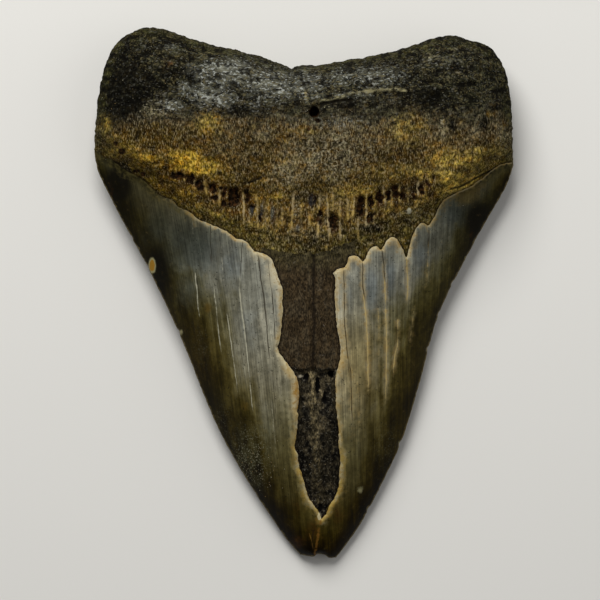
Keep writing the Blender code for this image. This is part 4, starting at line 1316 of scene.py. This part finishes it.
def bone_openings(bone):
    """The pale ribs, painted shade in pits and furrows, stain and painted shade in slots, and a painted
    shadow beside the enamel.
    """
    rib = bone.ranged(("rib_away", "fibres", 0.7), RIB_COLOUR_EDGE, RIB_COLOUR_CORE)
    rib = bone.within(bone.within(rib, bone.ranged("crumbs", 0.36, 0.6, 0.5, 1.0)), "rib_strength")
    # The dark inside the slots, pores and foramen: partly reddish stain, partly painted shade.
    inside_slot = bone.mixed("#100a06", "#3e2814", "crumbs", 0.46, 0.64)
    inside_slot = bone.mixed(inside_slot, "#3e4142", "cool_stain", 0.4, 0.9, 0.6)
    bone.coats([
        (bone.mixed("#a88f52", "#9d8c68", "hues", 0.42, 0.58), rib, 0.0, 0.7, 0.88),
        ("#a8a48c", "chip", 0.3, 0.8),
        # Painted shade in the crust's pits.
        ("#0b0a07", ("pits", "crumbs", 0.6), 0.3, 0.9, 0.75),
        (inside_slot, ("hollow", "crumbs", 0.7), 0.05, 0.55, 0.95),
        # Painted shade in the furrows, among them the shadow line below the shelf.
        ("#100e09", ("furrow", "blotches", 0.8), 0.3, 0.8, 0.9),
        # Painted shadow, partly dirt, in a thin band at the foot of the enamel step.
        ("#120d07", ("enamel_mm", "crumbs", 0.9), -0.75, -0.1, 0.8),
    ])


def root_bone(colours, sizes):
    """Weathered root bone: open, fibrous and dead matt, ochre at the neck and black at the top."""
    bone = Surface("weathered_root_bone", 0.9, 1.5, 0.02)
    grain = sizes.bone_grain / MM
    bone.noise("fibres", 0.6 * grain, (0.8, 2.6, 1.0))
    bone.noise("salt", 1.1 * grain, (1.3, 0.9, 1.0), 3.0, shift=3.0)
    bone.noise("pepper", 1.3 * grain, (1.3, 0.9, 1.0), 3.0, shift=8.0)
    bone.noise("crumbs", 1.6 * grain, detail=3.0)
    bone.noise("blotches", 3.0, detail=4.0)
    bone.noise("hues", 3.4, detail=3.0, shift=5.0)
    bone.noise("tints", 1.7, detail=3.0, shift=11.0)
    bone.noise("patches", 9.0)
    bone.values["lower"] = bone.ranged("upper", 0.7, 0.0)
    bone.values["dun_stain"] = bone.read(("dun", "blotches", 1.0))
    bone.values["cool_stain"] = bone.read(("cool", "fibres", 1.6))
    bone_stains_and_shade(bone, colours)
    bone_grains(bone, colours)
    bone_openings(bone)
    return bone.finished([("crumbs", 0.8, 0.35), ("fibres", 0.6, 0.12)])


def enamel_body(enamel, colours):
    """Grey beside the gap and olive at the edges, partly painted sheen and shade, stained browner towards
    the tip, finely lined.
    """
    # Dark at the edges and pale beside the gap: partly the enamel's colour, partly painted shade at the
    # edges and a painted sheen beside the gap.
    inner = enamel.read(("inner", "patches", 0.5, "bands", 0.3, "clouds", 0.24))
    inner = enamel.added("ShaderNodeMath", {0: "clear", 1: 0.16, 2: inner}, operation="MULTIPLY_ADD")
    enamel.colour = enamel.stops(inner, [
        (0.0, "#221d09"), (0.2, "#332d10"), (0.34, colours.enamel_olive), (0.48, "#5f5b42"),
        (0.64, "#6a695d"), (0.84, colours.enamel_grey), (1.0, "#98978a"),
    ])
    enamel.coats([
        (colours.enamel_blue, ("cool", "clouds", 0.8), 0.2, 0.9, 0.6),
        ("#474a42", ("slate", "clouds", 0.8), 0.2, 1.1, 0.8),
        ("#86764c", ("dun", "blotches", 0.8), 0.1, 1.0, 0.8),
    ])
    enamel.stain(enamel.mixed("#ffffff", "#fff0c8", "warm"))
    enamel.stain(enamel.stops(("y_mm", "patches", 14.0, "bands", 10.0), [
        (-62.0, "#7c6826"), (-56.0, "#8a7830"), (-48.0, "#93834c"), (-38.0, "#b9ab76"),
        (-30.0, "#e2d6ae"), (-20.0, "#fff5dc"), (-4.0, "#fffdf6"), (4.0, "#f9f8f2"),
        (12.0, "#c0c0b8"), (20.0, "#9c9b8c"), (33.0, "#8a8868"),
    ]))
    enamel.shades([
        ("striae", 0.3, 0.7, 0.74, 1.26), ("bands", 0.3, 0.7, 0.8, 1.2),
        ("clouds", 0.3, 0.7, 0.83, 1.17), ("blotches", 0.3, 0.7, 0.86, 1.16),
    ])


def enamel_stains(enamel):
    """Bleached, blackened and rusty places, specks and dust, and the granular crust of the shoulders."""
    enamel.coats([
        ("#aca58c", "bleached", 0.3, 1.1, 0.75),
        ("#0d0b05", ("black", "clouds", 0.7), 0.1, 1.1, 0.95),
        ("#40280b", ("rust", "blotches", 0.9), 0.2, 1.0, 0.75),
        ("#5e4a1c", ("ochre", "blotches", 0.6), 0.3, 0.9, 0.8),
        ("#14140f", "specks", 0.66, 0.74, 0.75),
    ])
    enamel.specks([
        ("#49472f", "clouds", 0.36, 0.6, "dust", 0.45), ("#86846a", "grit", 0.52, 0.66, "dust", 0.7),
    ])
    granular = enamel.shaded("#332e17", "blotches", 0.35, 0.65, 0.3, 1.8)
    enamel.coat(granular, ("shoulder", "blotches", 1.2), 0.15, 0.7, 0.9)


def enamel_edges(enamel, colours):
    """The cream of the broken margins, a thin pale line along the cutting edges, and chips."""
    rim = enamel.mixed(colours.cream, "#ae9450", enamel.ranged("y_mm", -20.0, -45.0))
    for row in (
        ("#b9b090", "clouds", 0.44, 0.6, 0.7), ("#bdb292", "bleached", 0.2, 0.8),
        ("#8f7034", "blotches", 0.5, 0.62, 0.7), ("#98702a", ("rust", "blotches", 0.9), 0.15, 0.9, 0.85),
    ):
        rim = enamel.mixed(rim, *row)
    chip = enamel.read(("chip", "blotches", 0.5))
    chipped = enamel.mixed("#97916a", "#9a7226", chip, 0.8, 1.0)
    chipped = enamel.mixed(chipped, "#c0b48c", enamel.ranged("y_mm", -50.0, -52.0))
    enamel.coats([
        (rim, ("cream", "blotches", 0.9), 0.05, 1.05, 0.9),
        ("#6e613c", enamel.ranged(("rim_mm", "blotches", 0.9), 0.4, 0.05), 0.0, 1.0, 0.7),
        (chipped, chip, 0.35, 0.75),
    ])


def enamel_cracks(enamel):
    """The tip's seam, open cracks darkened by painted shade, and cracks packed with pale sediment, browner
    at the tip.
    """
    packed = enamel.mixed("#b4b098", "#b59f68", enamel.ranged("growth_mm", -4.0, 6.0))
    packed = enamel.mixed(packed, "#85622a", enamel.ranged("y_mm", -50.0, -54.0))
    enamel.coats([
        ("#785420", ("tip_seam", "blotches", 1.4), 0.4, 1.1, 0.8),
        # Painted shade in the open cracks.
        ("#251c0f", ("dark_crack", "blotches", 0.7), 0.15, 0.7, 0.8),
        (packed, ("pale_crack", "blotches", 0.9), 0.2, 0.85, 0.9),
    ])


def fossil_enamel(colours, sizes):
    """Fossil enamel, polished by water: satin, with fine growth lines, grey inside, olive outside."""
    enamel = Surface("polished_fossil_enamel", 0.4, 1.5, 0.035)
    lines = enamel.added("ShaderNodeCombineXYZ", {"X": "growth_mm", "Y": "y_mm"})
    enamel.noise("striae", sizes.striation / MM, (1.0, 36.0, 1.0), 2.0, lines)
    enamel.noise("bands", 1.7, (1.0, 12.0, 1.0), 2.0, lines)
    enamel.noise("patches", 7.0, (1.0, 1.6, 1.0), 3.0)
    enamel.noise("clouds", 2.6, (1.0, 1.5, 1.0), 4.0)
    enamel.noise("blotches", 1.1, detail=4.0)
    enamel.noise("specks", 0.5, detail=1.0)
    enamel.noise("grit", 0.42, detail=3.0, shift=6.0)
    enamel.values["bleached"] = enamel.read(("pale", "blotches", 0.8))
    enamel_body(enamel, colours)
    enamel_stains(enamel)
    enamel_edges(enamel, colours)
    enamel_cracks(enamel)
    enamel.tree.links.new(enamel.ranged("clouds", 0.3, 0.7, 0.34, 0.5), enamel.shader.inputs["Roughness"])
    return enamel.finished([("striae", 0.5, 0.05), ("blotches", 0.35, 0.08)])


def chipped_dentine(dentine):
    """The colour of the deeper dentine below the step: dark and rough, with a paler ridge."""
    dentine.colour = dentine.mixed("#110f0b", "#332d20", "blotches", 0.4, 0.6)
    dentine.coat("#4e4530", ("ridge", "crumbs", 1.2, "streaks", 0.8), 0.25, 1.2, 0.8)
    dentine.shades([
        ("fibres", 0.36, 0.62, 0.3, 1.8), ("crumbs", 0.36, 0.62, 0.55, 1.45),
        ("coarse_lie", 0.38, 0.62, 0.6, 1.5), ("drift", -44.0, -20.0, 0.6, 1.7),
        # The relief row darkens the sunk grain and lightens the raised: partly dirt, partly painted shade
        # and light.
        ("relief", 0.2, 0.8, 0.3, 1.7),
    ])
    dentine.coat("#6c6758", "salt", 0.56, 0.72, 0.6)
    return dentine.colour


def bare_dentine(colours, sizes):
    """Bare dentine where the enamel broke off: dense and matt, grainy, chipped rough lower down."""
    dentine = Surface("bare_dentine", 0.75, 1.5, 0.05)
    grain = sizes.bone_grain / MM
    dentine.noise("fibres", 0.55 * grain, (0.8, 2.4, 1.0), 3.0)
    dentine.noise("streaks", 1.4, (1.0, 6.0, 1.0), 3.0)
    dentine.noise("salt", 0.9 * grain, shift=4.0)
    dentine.noise("crumbs", 1.5 * grain, (1.0, 1.4, 1.0), 3.0)
    dentine.noise("blotches", 2.2, detail=3.0)
    dentine.noise("coarse_lie", 4.5, (0.6, 1.4, 1.0), shift=2.0)
    dentine.values["drift"] = dentine.read(("y_mm", "blotches", 3.0))
    above, below = DENTINE_STEP_Y + DENTINE_STEP_SOFTNESS, DENTINE_STEP_Y - DENTINE_STEP_SOFTNESS
    lower = dentine.ranged(("y_mm", "crumbs", 5.0), above, below)
    rough = chipped_dentine(dentine)
    dentine.colour = dentine.mixed(colours.dentine, "#3a3224", "streaks", 0.46, 0.62, 0.8)
    dentine.coat("#241d12", "streaks", 0.46, 0.36, 0.6)
    dentine.coat("#38341f", dentine.ranged("drift", 2.0, 11.0), 0.0, 1.0, 0.6)
    dentine.shades([("fibres", 0.36, 0.64, 0.4, 1.7), ("crumbs", 0.34, 0.66, 0.6, 1.4)])
    dentine.coats([
        (rough, lower),
        ("#7d766a", "salt", 0.66, 0.78, 0.6),
        ("#120d08", ("seam", "crumbs", 1.6), 0.3, 0.9, 0.8),
        # Painted shade in the dentine's holes.
        ("#060504", "hollow", 0.0, 0.5),
        ("#b0a68e", ("chip", "salt", 1.0), 0.35, 0.8),
        # Painted shadow, partly dirt, at the foot of the enamel step.
        ("#0e0a06", ("enamel_mm", "crumbs", 0.9), -0.7, -0.1, 0.8),
    ])
    return dentine.finished([("crumbs", 0.7, 0.3), ("salt", 0.5, 0.1)])


def sand_grain(colours):
    """Quartz sand left in the pores: pale and dull, some grains stained ochre."""
    sand = Surface("quartz_sediment", 0.55, 1.54, 0.4)
    sand.noise("mottle", 0.15)
    sand.colour = sand.mixed(colours.sediment, "#8a6c34", "tint", 0.35, 0.95)
    sand.shades([("mottle", 0.3, 0.7, 0.75, 1.2)])
    return sand.finished()


# Sediment grains by Geometry Nodes

def sediment_tree(material):
    """Scatters small faceted grains over the faces whose field says sediment lies there."""
    tree = bpy.data.node_groups.new("sediment_scatter", "GeometryNodeTree")
    interface = tree.interface
    interface.new_socket("Geometry", in_out="INPUT", socket_type="NodeSocketGeometry")
    for name, kind in (("Density", "Float"), ("Grain Size", "Float"), ("Seed", "Int")):
        interface.new_socket(name, in_out="INPUT", socket_type=f"NodeSocket{kind}")
    interface.new_socket("Geometry", in_out="OUTPUT", socket_type="NodeSocketGeometry")
    given = add_node(tree, "NodeGroupInput").outputs
    seed = given["Seed"]

    def made(kind, inputs, output=0, **settings):
        return add_node(tree, kind, inputs, **settings).outputs[output]

    where = made("GeometryNodeInputNamedAttribute", {"Name": "sediment"}, data_type="FLOAT")
    density = made("ShaderNodeMath", {0: where, 1: given["Density"]}, operation="MULTIPLY")
    points = made(
        "GeometryNodeDistributePointsOnFaces",
        {"Mesh": given["Geometry"], "Density": density, "Seed": seed}, distribute_method="RANDOM",
    )
    grain = made("GeometryNodeMeshIcoSphere", {"Radius": 0.5, "Subdivisions": 1})
    shape, turn = (
        made("FunctionNodeRandomValue", {0: least, 1: most, "Seed": seed}, data_type="FLOAT_VECTOR")
        for least, most in ((GRAIN_LEAST, GRAIN_MOST), (GRAIN_UNTURNED, GRAIN_TURNED))
    )
    size = made("ShaderNodeVectorMath", {0: shape, "Scale": given["Grain Size"]}, operation="SCALE")
    grains = made(
        "GeometryNodeInstanceOnPoints",
        {"Points": points, "Instance": grain, "Rotation": turn, "Scale": size},
    )
    tint = made("FunctionNodeRandomValue", {2: 0.0, 3: 1.0, "Seed": seed}, 1)
    tinted = made(
        "GeometryNodeStoreNamedAttribute", {"Geometry": grains, "Name": "tint", "Value": tint},
        data_type="FLOAT", domain="INSTANCE",
    )
    real = made("GeometryNodeRealizeInstances", {"Geometry": tinted})
    dressed = made("GeometryNodeSetMaterial", {"Geometry": real, "Material": material})
    add_node(tree, "NodeGroupOutput", {"Geometry": dressed})
    return tree


def set_modifier_inputs(modifier, values):
    """Sets a Geometry Nodes modifier's inputs by their sockets' identifiers."""
    for item in modifier.node_group.interface.items_tree:
        if item.item_type == "SOCKET" and item.in_out == "INPUT" and item.name in values:
            modifier[item.identifier] = values[item.name]


def new_object(name, data):
    """An object made of a mesh, a light or a camera, and put in the scene."""
    made = bpy.data.objects.new(name, data)
    bpy.context.scene.collection.objects.link(made)
    return made


class FOSSIL_OT_tooth(bpy.types.Operator):
    """Build the tooth: root, dentine and enamel as one closed mesh"""

    bl_idname = "fossil.tooth"
    bl_label = "Tooth"

    def execute(self, context):
        sizes = context.scene.fossil_tooth_sizes
        colours = context.scene.fossil_tooth_colours
        tooth = new_object("tooth_body", tooth_mesh(sizes))
        for dressed in (fossil_enamel, root_bone, bare_dentine):
            tooth.data.materials.append(dressed(colours, sizes))
        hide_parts("tooth")
        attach(tooth, "root")
        return {"FINISHED"}


class FOSSIL_OT_sediment(bpy.types.Operator):
    """Scatter sediment grains over the pores of the root and the worn enamel"""

    bl_idname = "fossil.sediment"
    bl_label = "Sediment grains"

    def execute(self, context):
        sizes = context.scene.fossil_tooth_sizes
        ground = bpy.data.objects["tooth_body"].data.copy()
        places, normals = np.empty((2, len(ground.vertices), 3), np.float32)
        ground.vertices.foreach_get("co", places.ravel())
        ground.vertices.foreach_get("normal", normals.ravel())
        lying = patch_strength(places[:, :2] / MM, SEDIMENT_PATCHES) * (normals[:, 2] > LEAST_UPTURN)
        ground.attributes.new("sediment", "FLOAT", "POINT").data.foreach_set("value", lying)
        carrier = new_object("sediment_ground", ground)
        modifier = carrier.modifiers.new("sediment", "NODES")
        modifier.node_group = sediment_tree(sand_grain(context.scene.fossil_tooth_colours))
        set_modifier_inputs(
            modifier,
            {
                "Density": sizes.sediment_density * CM2_PER_M2,
                "Grain Size": sizes.sediment_size,
                "Seed": SEDIMENT_SEED,
            },
        )
        graph = context.evaluated_depsgraph_get()
        mesh = bpy.data.meshes.new_from_object(carrier.evaluated_get(graph), depsgraph=graph)
        bpy.data.objects.remove(carrier, do_unlink=True)
        mesh.name = "sediment_grains"
        mesh.shade_smooth()
        grains = new_object("sediment_grains", mesh)
        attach(grains, "root")
        return {"FINISHED"}


# The stage

class FOSSIL_OT_stage(bpy.types.Operator):
    """Set up the pale floor, the soft lights and the camera straight above"""

    bl_idname = "fossil.stage"
    bl_label = "Stage"

    def execute(self, context):
        settings = context.scene.fossil_stage
        half = settings.floor_half
        mesh = bpy.data.meshes.new("floor")
        corners = [(-half, -half, 0), (half, -half, 0), (half, half, 0), (-half, half, 0)]
        mesh.from_pydata(corners, [], [(0, 1, 2, 3)])
        floor = new_object("floor", mesh)
        paper = Surface("matt_paper_floor", 0.9, 1.45, 0.1)
        paper.shader.inputs["Base Color"].default_value = settings.floor_colour
        mesh.materials.append(paper.material)
        target = MM * Vector(VIEW_CENTRE)
        for name, power, (size, place) in (
            ("key_light", settings.key_power, KEY_LIGHT),
            ("fill_light", settings.fill_power, FILL_LIGHT),
        ):
            light = bpy.data.lights.new(name, "AREA")
            light.energy = power
            light.shape = "DISK"
            light.size = size
            lamp = new_object(name, light)
            lamp.location = place
            lamp.rotation_euler = (target - lamp.location).to_track_quat("-Z", "Y").to_euler()
        world = bpy.data.worlds.new("soft_studio")
        world.use_nodes = True
        background = world.node_tree.nodes["Background"]
        background.inputs["Color"].default_value = linear(WORLD_COLOUR)
        background.inputs["Strength"].default_value = WORLD_STRENGTH
        context.scene.world = world
        camera_data = bpy.data.cameras.new("camera")
        camera_data.lens = CAMERA_LENS
        camera_data.sensor_width = SENSOR_WIDTH
        camera_data.clip_start = NEAREST_SEEN
        camera = new_object("camera", camera_data)
        camera.location = target + Vector((0.0, 0.0, VIEW_WIDTH * MM * CAMERA_LENS / SENSOR_WIDTH))
        context.scene.camera = camera
        context.scene.view_settings.view_transform = "Standard"
        return {"FINISHED"}


class FOSSIL_PT_panel(bpy.types.Panel):
    """Sizes, colours and build steps of the tooth"""

    bl_label = "Fossil megalodon tooth"
    bl_idname = "FOSSIL_PT_panel"
    bl_space_type = "VIEW_3D"
    bl_region_type = "UI"
    bl_category = "Fossil"

    def draw(self, context):
        for group in ("fossil_tooth_sizes", "fossil_tooth_colours", "fossil_stage"):
            settings = getattr(context.scene, group)
            box = self.layout.box()
            for name in settings.bl_rna.properties.keys():
                if name not in ("rna_type", "name"):
                    box.prop(settings, name)
        for operator in OPERATORS:
            self.layout.operator(operator.bl_idname)


OPERATORS = (FOSSIL_OT_tooth, FOSSIL_OT_sediment, FOSSIL_OT_stage)
GROUPS = {
    "fossil_tooth_sizes": FossilToothSizes,
    "fossil_tooth_colours": FossilToothColours,
    "fossil_stage": FossilStageSettings,
}
CLASSES = (*GROUPS.values(), *OPERATORS, FOSSIL_PT_panel)


def register():
    for cls in CLASSES:
        bpy.utils.register_class(cls)
    for name, group in GROUPS.items():
        setattr(bpy.types.Scene, name, bpy.props.PointerProperty(type=group))


def unregister():
    for name in GROUPS:
        delattr(bpy.types.Scene, name)
    for cls in reversed(CLASSES):
        bpy.utils.unregister_class(cls)


def main():
    register()
    bpy.ops.fossil.tooth()
    bpy.ops.fossil.sediment()
    bpy.ops.fossil.stage()


if __name__ == "__main__":
    main()
